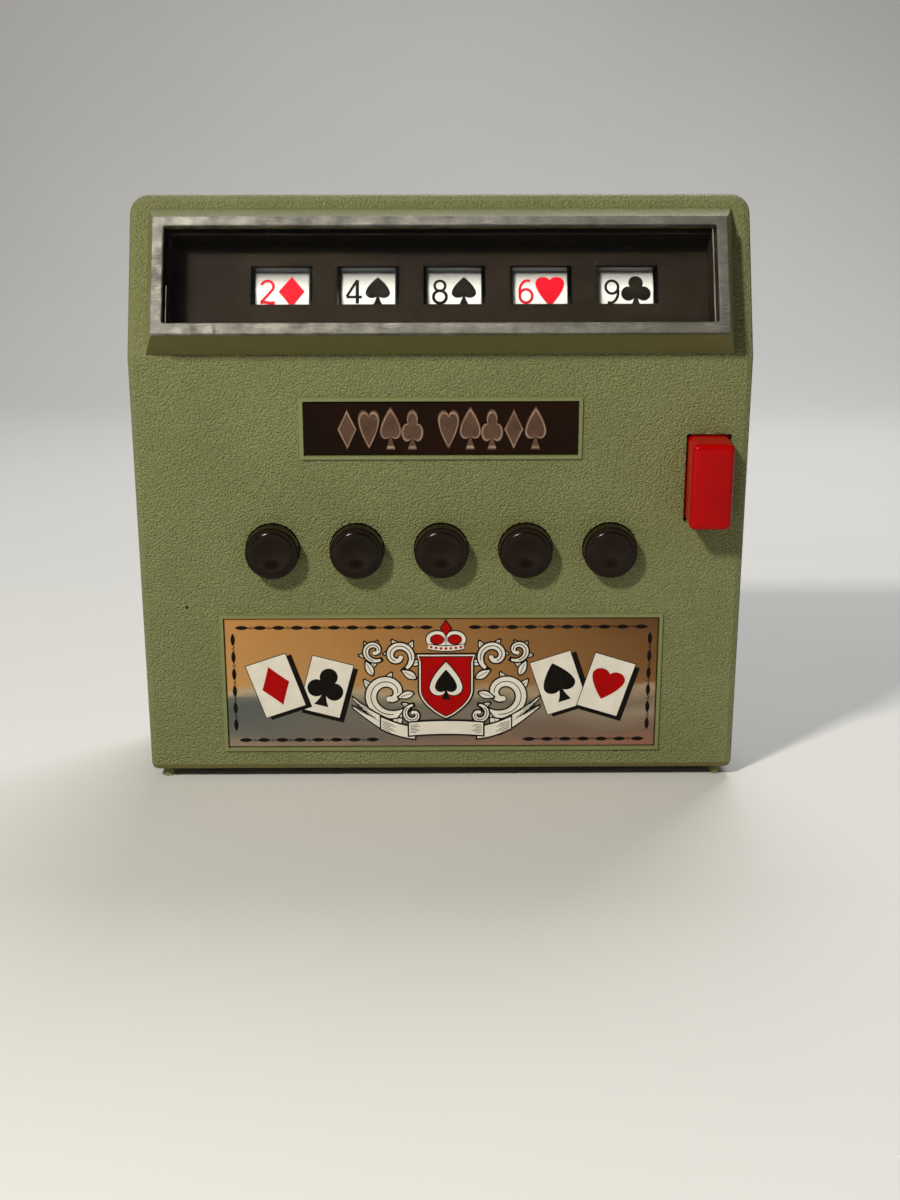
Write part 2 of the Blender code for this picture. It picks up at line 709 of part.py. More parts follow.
def make_plates():
    bottom = -POCKET_DEPTH + CLEARANCE
    for name, finish, width, height, rise in (
        ("nameplate", "nameplate_brown", NAMEPLATE_WIDTH, NAMEPLATE_HEIGHT, NAMEPLATE_RISE),
        ("emblem_plate", "gold_foil", EMBLEM_WIDTH, EMBLEM_HEIGHT, EMBLEM_RISE),
    ):
        low = (-width / 2, rise - height / 2, bottom)
        high = (width / 2, rise + height / 2, bottom + PLATE_THICKNESS)
        add_object(name, block(name, low, high, 0.15 * MM, 1), FACE_BOTTOM, ON_FACE, finish)


# ---------------------------------------------------------------- reels


def reel_places():
    middle = (REEL_COUNT - 1) / 2
    return [REEL_SHIFT + (i - middle) * REEL_PITCH for i in range(REEL_COUNT)]


def button_places():
    return [x - REEL_SHIFT for x in reel_places()]


def stop_wheel_outline():
    """A disc with a square notch for each card; one notch points straight back."""
    points = []
    for i in range(CARDS_PER_REEL):
        middle = 2 * math.pi * i / CARDS_PER_REEL
        for radius, side in (
            (STOP_WHEEL_RADIUS, -1), (STOP_WHEEL_RADIUS - STOP_NOTCH_DEPTH, -1),
            (STOP_WHEEL_RADIUS - STOP_NOTCH_DEPTH, 1), (STOP_WHEEL_RADIUS, 1),
        ):
            angle = middle + side * math.asin(STOP_NOTCH_WIDTH / 2 / radius)
            points.append((radius * math.cos(angle), radius * math.sin(angle)))
    return points


def make_reel(index, x):
    """A drum with a web, a long hub and its stop wheel, and the printed strip round it."""
    half = REEL_WIDTH / 2
    web = DRUM_WALL / 2
    drum_radius = REEL_RADIUS - STRIP_THICKNESS - CLEARANCE
    inside = drum_radius - DRUM_WALL
    hub_end = half + 2.3 * MM
    hub_start = -(REEL_PITCH - hub_end - CLEARANCE)
    profile = ring_profile(
        SHAFT_RADIUS + CLEARANCE,
        [
            (HUB_RADIUS, hub_end), (HUB_RADIUS, web), (inside, web), (inside, half),
            (drum_radius, half), (drum_radius, -half), (inside, -half), (inside, -web),
            (HUB_RADIUS, -web), (HUB_RADIUS, hub_start),
        ],
    )
    at = at_x(REEL_AXIS, x)
    reel = turned(f"reel_{index}", profile, "reel_plastic", at, ALONG_X, 18)
    low = STOP_WHEEL_OFFSET - STOP_WHEEL_THICKNESS / 2
    bore = circle((0, 0), (SHAFT_RADIUS + HUB_RADIUS) / 2, 12)
    wheel = flat(f"stop_wheel_{index}", [stop_wheel_outline(), bore], low, low + STOP_WHEEL_THICKNESS)
    join(reel, add_object(f"stop_wheel_{index}", wheel, at, ALONG_X))
    strip = ring_profile(
        REEL_RADIUS - STRIP_THICKNESS, [(REEL_RADIUS, half - 0.2 * MM), (REEL_RADIUS, -half + 0.2 * MM)]
    )
    turned(f"card_strip_{index}", strip, "card_paper", at, ALONG_X)


def make_reel_shaft():
    low = GEAR_X - GEAR_WIDTH - 0.8 * MM
    high = FRAME_RIGHT + FRAME_THICKNESS + 2.0 * MM
    mesh = rods("reel_shaft", [(0, 0)], SHAFT_RADIUS, low, high)
    add_object("reel_shaft", mesh, REEL_AXIS, ALONG_X, "steel")


# ---------------------------------------------------------------- hold buttons and levers


def helix(radius, low, high, turns=3, per_turn=8):
    count = int(turns * per_turn)
    points = []
    for i in range(count + 1):
        angle = 2 * math.pi * i / per_turn
        z = low + (high - low) * i / count
        points.append((radius * math.cos(angle), radius * math.sin(angle), z))
    return points


def make_button(index, x):
    """A dished cap on a long stem, with a flange behind the wall, and its return spring."""
    seat = -FLANGE_SEAT
    flange = BUTTON_HOLE_RADIUS + FLANGE_LIP
    rim = BUTTON_RADIUS - 1.2 * MM
    profile = [
        (0.0, BUTTON_PROUD - BUTTON_DISH),
        (rim * 0.55, BUTTON_PROUD - BUTTON_DISH * 0.67),
        (rim - 0.5 * MM, BUTTON_PROUD),
        (rim + 0.3 * MM, BUTTON_PROUD - 0.1 * MM),
        (BUTTON_RADIUS - 0.3 * MM, BUTTON_PROUD - 0.8 * MM),
        (BUTTON_RADIUS, BUTTON_PROUD - 1.8 * MM),
        (BUTTON_RADIUS, seat),
        (flange, seat),
        (flange, seat - FLANGE_THICKNESS),
        (STEM_RADIUS, seat - FLANGE_THICKNESS),
        (STEM_RADIUS, -STEM_END + 1.0 * MM),
        (STEM_RADIUS * 0.6, -STEM_END + 0.2 * MM),
        (0.0, -STEM_END),
    ]
    at = on_face(x, BUTTON_RISE)
    turned(f"hold_button_{index}", profile, "button_brown", at, ON_FACE, 18)
    wire = BUTTON_SPRING_WIRE
    low = -GUIDE_DEPTH + CLEARANCE + wire
    high = seat - FLANGE_THICKNESS - CLEARANCE - wire
    coil = helix(STEM_RADIUS + CLEARANCE + 2 * wire, low, high)
    add_object(
        f"button_spring_{index}", tube(f"button_spring_{index}", coil, wire), at, ON_FACE, "steel"
    )


def make_lever(index, x):
    """A bell crank on the rod: the stem pushes its lower arm, its upper arm nose enters a notch."""
    stop_x = REEL_SHIFT + STOP_WHEEL_OFFSET
    at = at_x(LEVER_AXIS, x)
    hub = rods(
        f"hold_lever_{index}", [(0, 0)], LEVER_HUB_RADIUS,
        stop_x - STOP_WHEEL_THICKNESS / 2, LEVER_ARM_WIDTH / 2 + 1.0 * MM, 16,
    )
    lever = add_object(f"hold_lever_{index}", hub, at, ALONG_X, "zinc_plate")
    stem_end = on_face(0.0, BUTTON_RISE, STEM_END) - LEVER_AXIS
    pad_front = stem_end.y + 0.8 * MM
    pad_back = pad_front + LEVER_ARM_WIDTH
    pad_low, pad_high = stem_end.z - 3.2 * MM, stem_end.z + 4.0 * MM
    half = LEVER_ARM_WIDTH / 2
    lower = [
        (-half, 0.0), (pad_front, pad_high), (pad_front, pad_low), (pad_back, pad_low),
        (pad_back, pad_high), (half, 0.0),
    ]
    arm = flat(f"lever_lower_{index}", [lower], -LEVER_ARM_WIDTH / 2, LEVER_ARM_WIDTH / 2)
    join(lever, add_object(f"lever_lower_{index}", arm, at, ALONG_X))
    tip = REEL_AXIS - LEVER_AXIS
    nose_y = tip.y + STOP_WHEEL_RADIUS + 0.7 * MM
    nose = 1.1 * MM
    upper = [
        (-1.5 * MM, 0.0), (1.5 * MM, 0.0), (nose_y + 5.4 * MM, tip.z - 2 * nose),
        (nose_y + 5.4 * MM, tip.z + nose), (nose_y, tip.z + nose), (nose_y, tip.z - nose),
        (nose_y + 2.6 * MM, tip.z - nose),
    ]
    half = 0.7 * MM
    arm = flat(f"lever_upper_{index}", [upper], stop_x - half, stop_x + half)
    join(lever, add_object(f"lever_upper_{index}", arm, at, ALONG_X))
    bore = rods(
        f"lever_bore_{index}", [(0, 0)], LEVER_ROD_RADIUS + CLEARANCE,
        stop_x - WALL, LEVER_ARM_WIDTH + WALL, 16,
    )
    cut(lever, add_object(f"lever_bore_{index}", bore, at, ALONG_X))


def make_guide_plate():
    """The plate that guides all the stems and takes their springs' thrust."""
    left = FRAME_LEFT - FRAME_THICKNESS
    step = FRAME_RIGHT + FRAME_THICKNESS
    right = START_X + START_SLOT_WIDTH / 2 + 1.2 * MM
    low = BUTTON_RISE - 10.0 * MM
    high = BUTTON_RISE + 10.0 * MM
    top = START_SLOT_RISE + START_SLOT_HEIGHT / 2
    outline = [(left, low), (right, low), (right, top), (step, top), (step, high), (left, high)]
    holes = [circle((x, BUTTON_RISE), STEM_RADIUS + CLEARANCE, 16) for x in button_places()]
    holes.append(circle((START_X, START_SLOT_RISE), START_STEM_RADIUS + CLEARANCE, 16))
    mesh = flat("guide_plate", [outline, *holes], -GUIDE_DEPTH - GUIDE_THICKNESS, -GUIDE_DEPTH)
    add_object("guide_plate", mesh, FACE_BOTTOM, ON_FACE, "zinc_plate")


def make_start_bar():
    """The red bar: a rounded block through the slot, a flange behind the wall and a stem."""
    half_width = START_SLOT_WIDTH / 2 - 1.5 * CLEARANCE
    half_height = START_SLOT_HEIGHT / 2 - 1.5 * CLEARANCE
    seat = -FLANGE_SEAT
    at = on_face(START_X, START_SLOT_RISE)
    bar_mesh = block(
        "start_bar",
        (-half_width, -half_height, seat - 1.0 * MM),
        (half_width, half_height, START_BAR_PROUD),
        1.6 * MM, 3,
    )
    bar = add_object("start_bar", bar_mesh, at, ON_FACE, "red_plastic")
    lip = 0.8 * MM
    outer_x, outer_y = START_SLOT_WIDTH / 2 + lip, START_SLOT_HEIGHT / 2 + lip
    flange = block(
        "start_flange", (-outer_x, -outer_y, seat - FLANGE_THICKNESS), (outer_x, outer_y, seat)
    )
    join(bar, add_object("start_flange", flange, at, ON_FACE))
    stem = rods(
        "start_stem", [(0, 0)], START_STEM_RADIUS, -START_STEM_END, seat - FLANGE_THICKNESS / 2, 16
    )
    join(bar, add_object("start_stem", stem, at, ON_FACE))
    wire = START_SPRING_WIRE
    low = -GUIDE_DEPTH + CLEARANCE + wire
    high = seat - FLANGE_THICKNESS - CLEARANCE - wire
    coil = helix(START_STEM_RADIUS + CLEARANCE + 2 * wire, low, high)
    add_object("start_bar_spring", tube("start_bar_spring", coil, wire), at, ON_FACE, "steel")


def make_start_switch():
    """The switch on the right frame side, in line with the start bar's stem."""
    depth = START_STEM_END + START_TRAVEL + CLEARANCE
    at = on_face(START_X, START_SLOT_RISE)
    left = FRAME_RIGHT + FRAME_THICKNESS + CLEARANCE - START_X
    mesh = block(
        "start_switch", (left, -6 * MM, -depth - 10 * MM), (4 * MM, 6 * MM, -depth), 0.4 * MM, 1
    )
    add_object("start_switch", mesh, at, ON_FACE, "tray_plastic")


# ---------------------------------------------------------------- frame and drive


def frame_outline():
    """The frame side's (y, z) outline, from the guide plate back to the cover and up past the reels."""
    front = -GUIDE_DEPTH - GUIDE_THICKNESS - CLEARANCE
    low = on_face(0.0, BUTTON_RISE - 9.0 * MM, -front)
    high = on_face(0.0, BUTTON_RISE + 9.0 * MM, -front)
    back = COVER_INNER_Y - FRAME_GAP
    top = REEL_AXIS.z + REEL_RADIUS + 1.0 * MM
    reels = REEL_AXIS.y
    return [
        (low.y, low.z), (low.y + 4 * MM, FRAME_FOOT), (back, FRAME_FOOT),
        (back, REEL_AXIS.z - 50 * MM), (back - 2 * MM, REEL_AXIS.z - 6 * MM),
        (TIE_BAR_AXIS.y + 2 * TIE_BAR_RADIUS, top), (reels - 12 * MM, top),
        (reels - 16 * MM, REEL_AXIS.z + 9 * MM), (reels - 13 * MM, REEL_AXIS.z - 21 * MM),
        (high.y, high.z),
    ]


def yz(point):
    return (point.y, point.z)


def make_frame():
    gap = CLEARANCE
    shared = [
        circle(yz(REEL_AXIS), SHAFT_RADIUS + gap, 16),
        circle(yz(LEVER_AXIS), LEVER_ROD_RADIUS + gap, 16),
        circle(yz(TIE_BAR_AXIS), TIE_BAR_PIN_RADIUS + gap, 16),
    ]
    drive = [
        circle(yz(IDLER_AXIS), IDLER_AXLE_RADIUS + gap, 16),
        circle(yz(MOTOR_AXIS), MOTOR_BOSS_RADIUS + gap, 16),
    ]
    left = [frame_outline(), *shared, *drive]
    right = [frame_outline(), *shared]
    mesh = flat("frame_side_left", left, FRAME_LEFT - FRAME_THICKNESS, FRAME_LEFT)
    add_object("frame_side_left", mesh, turn=ALONG_X, finish="zinc_plate")
    mesh = flat("frame_side_right", right, FRAME_RIGHT, FRAME_RIGHT + FRAME_THICKNESS)
    add_object("frame_side_right", mesh, turn=ALONG_X, finish="zinc_plate")

    low, high = FRAME_LEFT - FRAME_THICKNESS - 1.0 * MM, FRAME_RIGHT + FRAME_THICKNESS + 1.0 * MM
    rod = rods("lever_rod", [(0, 0)], LEVER_ROD_RADIUS, low, high, 16)
    add_object("lever_rod", rod, LEVER_AXIS, ALONG_X, "steel")
    profile = [
        (0.0, high), (TIE_BAR_PIN_RADIUS, high),
        (TIE_BAR_PIN_RADIUS, FRAME_RIGHT - gap), (TIE_BAR_RADIUS, FRAME_RIGHT - gap),
        (TIE_BAR_RADIUS, FRAME_LEFT + gap), (TIE_BAR_PIN_RADIUS, FRAME_LEFT + gap),
        (TIE_BAR_PIN_RADIUS, low), (0.0, low),
    ]
    turned("frame_tie_bar", profile, "steel", TIE_BAR_AXIS, ALONG_X, 16)


def gear_outline(teeth, tooth_angle):
    """A gear's outline with straight-sided teeth, one of them centred on tooth_angle."""
    pitch_radius = GEAR_MODULE * teeth / 2
    points = []
    for i in range(teeth):
        middle = tooth_angle + 2 * math.pi * i / teeth
        for rise, half_width, side in (
            (-1.15, 0.84, -1), (0.75, 0.26, -1), (0.75, 0.26, 1), (-1.15, 0.84, 1),
        ):
            radius = pitch_radius + rise * GEAR_MODULE
            angle = middle + side * half_width * GEAR_MODULE / pitch_radius
            points.append((radius * math.cos(angle), radius * math.sin(angle)))
    return points


def mesh_angle():
    return math.atan2(IDLER_DIRECTION.z, IDLER_DIRECTION.y)


def pulley_profile(radius, low, high):
    """The rim of a grooved wheel between two heights; its belt lies a clearance off the groove."""
    middle = (low + high) / 2
    groove = radius - GROOVE_DEPTH
    lip = 0.5 * MM
    return [
        (radius, high), (radius, high - lip), (groove, middle + 0.4 * MM),
        (groove, middle - 0.4 * MM), (radius, low + lip), (radius, low),
    ]


def make_drive():
    gap = CLEARANCE
    gear_low, gear_high = GEAR_X - GEAR_WIDTH, GEAR_X
    bore = circle((0, 0), SHAFT_RADIUS + gap, 16)
    outline = gear_outline(GEAR_TEETH, mesh_angle())
    gear = flat("shaft_gear", [outline, bore], gear_low, gear_high)
    add_object("shaft_gear", gear, REEL_AXIS, ALONG_X, "white_nylon")

    low, high = PULLEY_X - PULLEY_WIDTH, PULLEY_X
    pulley = [(0.0, high), *pulley_profile(IDLER_PULLEY_RADIUS, low, high), (0.0, low)]
    idler = turned("idler_pulley", pulley, "white_nylon", IDLER_AXIS, ALONG_X, 20)
    half_tooth = math.pi / PINION_TEETH
    teeth = gear_outline(PINION_TEETH, mesh_angle() + math.pi + half_tooth)
    pinion = flat("pinion", [teeth], high - gap, gear_high + gap)
    join(idler, add_object("pinion", pinion, IDLER_AXIS, ALONG_X))
    hole = rods("idler_bore", [(0, 0)], IDLER_AXLE_RADIUS + gap, low - WALL, gear_high + WALL, 16)
    cut(idler, add_object("idler_bore", hole, IDLER_AXIS, ALONG_X))
    axle = rods("idler_axle", [(0, 0)], IDLER_AXLE_RADIUS, low - 1.0 * MM, FRAME_LEFT + 1.0 * MM, 16)
    add_object("idler_axle", axle, IDLER_AXIS, ALONG_X, "steel")

    boss_end = FRAME_LEFT - FRAME_THICKNESS - 0.5 * MM
    start = FRAME_LEFT + gap
    end = start + MOTOR_LENGTH
    motor = [
        (0.0, end + 1.5 * MM), (MOTOR_BOSS_RADIUS, end + 1.5 * MM), (MOTOR_BOSS_RADIUS, end),
        (MOTOR_RADIUS, end), (MOTOR_RADIUS, start), (MOTOR_BOSS_RADIUS, start),
        (MOTOR_BOSS_RADIUS, boss_end), (0.0, boss_end),
    ]
    turned("motor", motor, "steel", MOTOR_AXIS, ALONG_X, 18)
    shaft = MOTOR_SHAFT_RADIUS
    top = pulley_profile(MOTOR_PULLEY_RADIUS, low, high)
    small = [(0.0, boss_end - gap), (shaft, boss_end - gap), (shaft, high), *top, (0.0, low)]
    turned("motor_pulley", small, "brass", MOTOR_AXIS, ALONG_X, 16)
    make_belt((low + high) / 2)


def make_belt(x):
    """The round belt: two arcs round the pulleys joined by straight runs."""
    seat = BELT_RADIUS + BELT_GAP
    big = IDLER_PULLEY_RADIUS - GROOVE_DEPTH + seat
    small = MOTOR_PULLEY_RADIUS - GROOVE_DEPTH + seat
    span = MOTOR_AXIS - IDLER_AXIS
    heading = math.atan2(span.z, span.y)
    spread = math.acos((big - small) / span.length)
    points = []
    for centre, radius, start, end in (
        (IDLER_AXIS, big, heading + spread, heading + 2 * math.pi - spread),
        (MOTOR_AXIS, small, heading - spread, heading + spread),
    ):
        for i in range(11):
            angle = start + (end - start) * i / 10
            y = centre.y + radius * math.cos(angle)
            points.append((x, y, centre.z + radius * math.sin(angle)))
    add_object("drive_belt", tube("drive_belt", points, BELT_RADIUS, True), finish="black_rubber")


# ---------------------------------------------------------------- batteries and back


def make_battery_tray():
    """A cradle with a floor, a front wall and two end walls, open at the back and the top."""
    reach = CELL_RADIUS + TRAY_GAP + TRAY_WALL
    low = Vector((-TRAY_HALF - TRAY_WALL, CELL_Y - reach, CELL_Z - reach))
    back = COVER_INNER_Y - 1.0 * MM
    high = Vector((TRAY_HALF + TRAY_WALL, back, CELL_Z + CELL_RADIUS - 4.0 * MM))
    tray = add_object("battery_tray", block("battery_tray", low, high), finish="tray_plastic")
    hollow = block(
        "tray_hollow",
        low + Vector((TRAY_WALL, TRAY_WALL, TRAY_WALL)),
        high + Vector((-TRAY_WALL, WALL, WALL)),
    )
    cut(tray, add_object("tray_hollow", hollow))


def make_cells():
    """Two cells end to end, with a spring contact at the left and a plate at the right."""
    nub = CELL_NUB_HEIGHT
    start = -CELL_LENGTH - CLEARANCE / 2
    for index in range(2):
        low = start + index * (CELL_LENGTH + CLEARANCE)
        high = low + CELL_LENGTH
        profile = [
            (0.0, high), (CELL_NUB_RADIUS, high), (CELL_NUB_RADIUS, high - nub),
            (CELL_RADIUS - 1 * MM, high - nub),
            (CELL_RADIUS, high - 2 * nub), (CELL_RADIUS, low + 0.5 * MM),
            (CELL_RADIUS - 1 * MM, low), (0.0, low),
        ]
        at = Vector((0, CELL_Y, CELL_Z))
        turned(f"battery_{index + 1}", profile, "cell_jacket", at, ALONG_X)
    half = TRAY_HALF - CLEARANCE
    top = CELL_Z + CELL_RADIUS + CONTACT_TAB_RISE
    sheet = CONTACT_SHEET
    for name, side in (("contact_spring", -1), ("contact_plate", 1)):
        outline = [
            (CELL_Y - 6 * MM, CELL_Z - 9 * MM), (CELL_Y + 6 * MM, CELL_Z - 9 * MM),
            (CELL_Y + 6 * MM, CELL_Z + 9 * MM), (CELL_Y + 2 * MM, CELL_Z + 9 * MM),
            (CELL_Y + 2 * MM, top), (CELL_Y - 2 * MM, top), (CELL_Y - 2 * MM, CELL_Z + 9 * MM),
            (CELL_Y - 6 * MM, CELL_Z + 9 * MM),
        ]
        low = min(side * half, side * (half - sheet))
        mesh = flat(name, [outline], low, low + sheet)
        obj = add_object(name, mesh, turn=ALONG_X, finish="brass")
        if side < 0:
            reach = half - sheet - CELL_LENGTH - CLEARANCE
            bump = turned_cone("contact_bump", 5.0 * MM, 2.5 * MM, reach)
            at = Vector((-half + sheet / 2, CELL_Y, CELL_Z))
            join(obj, add_object("contact_bump", bump, at, ALONG_X))


def turned_cone(name, low_radius, high_radius, height):
    bm = bmesh.new()
    bmesh.ops.create_cone(
        bm, cap_ends=True, segments=16, radius1=low_radius, radius2=high_radius, depth=height,
        matrix=Matrix.Translation((0, 0, height / 2)),
    )
    return mesh_from(bm, name)


def door_pivot():
    return Vector((0.0, CASE_DEPTH - DOOR_THICKNESS / 2, CELL_Z - CELL_RADIUS - 0.2 * MM))


def door_half_width():
    return CELL_LENGTH + DOOR_SIDE_MARGIN


def make_rear_cover():
    half = CASE_WIDTH / 2 - WALL - CLEARANCE
    low, high = FOOT_HEIGHT + WALL + CLEARANCE, CASE_HEIGHT - WALL - CLEARANCE
    outline = rounded_rectangle(-half, low, half, high, CORNER_RADIUS - WALL)
    pivot = door_pivot()
    door_half = door_half_width() + CLEARANCE
    edge = DOOR_THICKNESS / 2 + 2 * CLEARANCE
    opening = rectangle(
        -door_half, pivot.z - edge, door_half, pivot.z + DOOR_HEIGHT + CLEARANCE
    )
    mesh = flat("rear_cover", [outline, opening], COVER_INNER_Y, CASE_DEPTH)
    cover = add_object("rear_cover", mesh, turn=ON_BACK, finish="green_plastic")
    lug = DOOR_LUG_WIDTH
    for name, side in (("cover_lug_left", -1), ("cover_lug_right", 1)):
        lug_outer = side * (door_half + lug)
        mesh = block(
            name,
            (min(side * door_half, lug_outer), COVER_INNER_Y - 0.8 * MM, pivot.z - 2.2 * MM),
            (max(side * door_half, lug_outer), COVER_INNER_Y + 1.0 * MM, pivot.z + 2.2 * MM),
        )
        join(cover, add_object(name, mesh))
    reach = door_half + 1.4 * MM
    pins = rods("cover_pin_holes", [(0, 0)], DOOR_PIN_RADIUS + CLEARANCE, -reach, reach, 12)
    cut(cover, add_object("cover_pin_holes", pins, pivot, ALONG_X))
    for index, (x, z) in enumerate(post_places()):
        profile = [
            (0.0, WALL), (SCREW_HEAD_RADIUS + CLEARANCE, WALL), (SCREW_HEAD_RADIUS + CLEARANCE, 0.0),
            (SCREW_RADIUS + CLEARANCE, -1.6 * MM), (SCREW_RADIUS + CLEARANCE, -2 * COVER_THICKNESS),
            (0.0, -2 * COVER_THICKNESS),
        ]
        hole = turned(f"cover_hole_{index + 1}", profile, None, (x, CASE_DEPTH, z), ON_BACK, 16)
        cut(cover, hole)


def make_battery_door():
    """The door over the cells, on two pins along its lower edge."""
    pivot = door_pivot()
    half = door_half_width()
    back = DOOR_THICKNESS / 2
    panel = block("battery_door", (-half, -back, 0.0), (half, back, DOOR_HEIGHT))
    door = add_object("battery_door", panel, pivot, finish="green_plastic")
    barrel = rods("door_barrel", [(0, 0)], back, -half, half, 16)
    join(door, add_object("door_barrel", barrel, pivot, ALONG_X))
    reach = half + CLEARANCE + 1.0 * MM
    pins = rods("door_pins", [(0, 0)], DOOR_PIN_RADIUS, -reach, reach, 12)
    join(door, add_object("door_pins", pins, pivot, ALONG_X))
    grip = block(
        "door_grip",
        (-9 * MM, back - 0.9 * MM, DOOR_HEIGHT - 7 * MM), (9 * MM, back + WALL, DOOR_HEIGHT - 3 * MM),
    )
    cut(door, add_object("door_grip", grip, pivot))


def make_screws():
    for index, (x, z) in enumerate(post_places()):
        top = -0.2 * MM
        shank_end = -COVER_THICKNESS - SCREW_LENGTH + 1.0 * MM
        profile = [
            (0.0, top), (SCREW_HEAD_RADIUS, top), (SCREW_RADIUS, top - 1.5 * MM),
            (SCREW_RADIUS, shank_end + 1.0 * MM), (0.0, shank_end),
        ]
        name = f"cover_screw_{index + 1}"
        at = (x, CASE_DEPTH, z)
        screw = turned(name, profile, "steel", at, ON_BACK, 12)
        slot = block(
            f"{name}_slot", (-3.5 * MM, -0.4 * MM, top - 0.7 * MM), (3.5 * MM, 0.4 * MM, WALL)
        )
        cut(screw, add_object(f"{name}_slot", slot, at, ON_BACK))


def make_wires():
    """Three insulated leads: cells to switch, switch to motor and motor to cells."""
    radius = 0.7 * MM
    top = CELL_Z + CELL_RADIUS + CONTACT_TAB_RISE - 0.6 * MM
    end = TRAY_HALF
    motor_end = FRAME_LEFT + MOTOR_LENGTH + CLEARANCE
    terminal = motor_end + radius + CLEARANCE
    switch = on_face(START_X, START_SLOT_RISE, START_STEM_END + START_TRAVEL + 11.2 * MM)
    under = (top + FRAME_FOOT) / 2 - 0.4 * MM
    out = FRAME_RIGHT + FRAME_THICKNESS + 8.0 * MM
    routes = {
        "wire_cell_to_switch": (
            (end + 1.0 * MM, CELL_Y, top - 0.4 * MM), (end + 5.0 * MM, CELL_Y + 1 * MM, top + 3 * MM),
            (out + 2 * MM, CELL_Y - 4 * MM, top + 20 * MM), (START_X, CELL_Y - 6 * MM, switch.z - 8 * MM),
            (START_X, switch.y + 0.5 * MM, switch.z),
        ),
        "wire_switch_to_motor": (
            (START_X - 5 * MM, switch.y + 0.5 * MM, switch.z), (out, CELL_Y, switch.z - 8 * MM),
            (out, CELL_Y + 12 * MM, under + 12 * MM), (out - 4 * MM, CELL_Y + 14 * MM, under + 0.6 * MM),
            (20 * MM, CELL_Y + 13 * MM, under + 1 * MM),
            (terminal + 8 * MM, MOTOR_AXIS.y + 7 * MM, under + 4 * MM),
            (terminal, MOTOR_AXIS.y + 6 * MM, MOTOR_Z),
        ),
        "wire_motor_to_cell": (
            (-end + 1.0 * MM + CLEARANCE, CELL_Y, top), (-end + 16 * MM, CELL_Y - 4 * MM, under),
            (motor_end - 6 * MM, CELL_Y - 3 * MM, under),
            (terminal + 3 * MM, MOTOR_AXIS.y - 5 * MM, under + 4 * MM),
            (terminal, MOTOR_AXIS.y - 6 * MM, MOTOR_Z),
        ),
    }
    for name, points in routes.items():
        route = smooth_route([Vector(p) for p in points], 3)
        colour = "black_wire" if name == "wire_motor_to_cell" else "red_wire"
        add_object(name, tube(name, route, radius), finish=colour)


# ---------------------------------------------------------------- assembly


def main():
    make_front_case()
    make_bezel()
    make_lens()
    make_mask()
    make_plates()
    for index, x in enumerate(reel_places(), start=1):
        make_reel(index, x)
    make_reel_shaft()
    for index, x in enumerate(button_places(), start=1):
        make_button(index, x)
        make_lever(index, x)
    make_guide_plate()
    make_start_bar()
    make_start_switch()
    make_frame()
    make_drive()
    make_battery_tray()
    make_cells()
    make_rear_cover()
    make_battery_door()
    make_screws()
    make_wires()


main()
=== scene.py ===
"""Looks of a tabletop draw-poker machine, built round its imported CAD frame.

Each sub-assembly is a class whose fields are its sizes in metres and whose methods build its
surfaces and dress them. Every new surface is a numpy grid, worked out in a flat local frame (Place)
or round a reel (Drum), and every material is procedural.
"""

import json
import logging
import math
from dataclasses import dataclass, field
from enum import Enum, IntEnum
from typing import Optional, Protocol, Sequence

import bmesh
import bpy
import numpy as np
from mathutils import Matrix, Vector


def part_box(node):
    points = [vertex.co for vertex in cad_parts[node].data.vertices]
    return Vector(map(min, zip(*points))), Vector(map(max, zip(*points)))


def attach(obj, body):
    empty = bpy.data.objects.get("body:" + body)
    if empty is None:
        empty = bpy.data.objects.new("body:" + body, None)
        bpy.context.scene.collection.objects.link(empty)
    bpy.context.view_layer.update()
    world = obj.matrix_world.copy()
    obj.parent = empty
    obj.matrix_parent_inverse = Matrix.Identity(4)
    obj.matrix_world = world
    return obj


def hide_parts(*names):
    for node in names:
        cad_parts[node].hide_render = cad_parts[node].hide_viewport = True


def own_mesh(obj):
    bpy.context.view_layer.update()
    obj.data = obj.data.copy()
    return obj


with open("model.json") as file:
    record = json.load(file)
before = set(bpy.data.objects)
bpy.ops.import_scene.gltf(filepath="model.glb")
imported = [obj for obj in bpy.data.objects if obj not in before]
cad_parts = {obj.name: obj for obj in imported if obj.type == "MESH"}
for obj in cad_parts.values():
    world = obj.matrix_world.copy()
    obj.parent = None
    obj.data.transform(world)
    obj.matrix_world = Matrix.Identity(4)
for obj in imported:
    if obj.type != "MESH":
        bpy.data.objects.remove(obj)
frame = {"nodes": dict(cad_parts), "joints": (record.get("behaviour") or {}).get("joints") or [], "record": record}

LOG = logging.getLogger("draw_poker_machine")
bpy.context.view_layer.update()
MM = 0.001
SAME_POINT = 2e-7
Colour = tuple[float, float, float]
Pair = tuple[float, float]
Socket = bpy.types.NodeSocket


# ---------------------------------------------------------------- frames of reference


def joint(name: str) -> dict:
    """Finds a joint of the frame.

    Args:
        name: The joint's name.

    Returns:
        The joint's row of the record.
    """
    return next(row for row in frame["joints"] if row["name"] == name)


def node_points(node: str) -> np.ndarray:
    """Reads a CAD node's vertices.

    Args:
        node: The node's name.

    Returns:
        The points in the row frame, as an (n, 3) array.
    """
    vertices = frame["nodes"][node].data.vertices
    points = np.empty(len(vertices) * 3, np.float32)
    vertices.foreach_get("co", points)
    return points.reshape(-1, 3).astype(float)


class Carrier(Protocol):
    """Anything that carries local points into the row frame."""

    def world(self, points: np.ndarray) -> np.ndarray:
        """Carries local points into the row frame."""


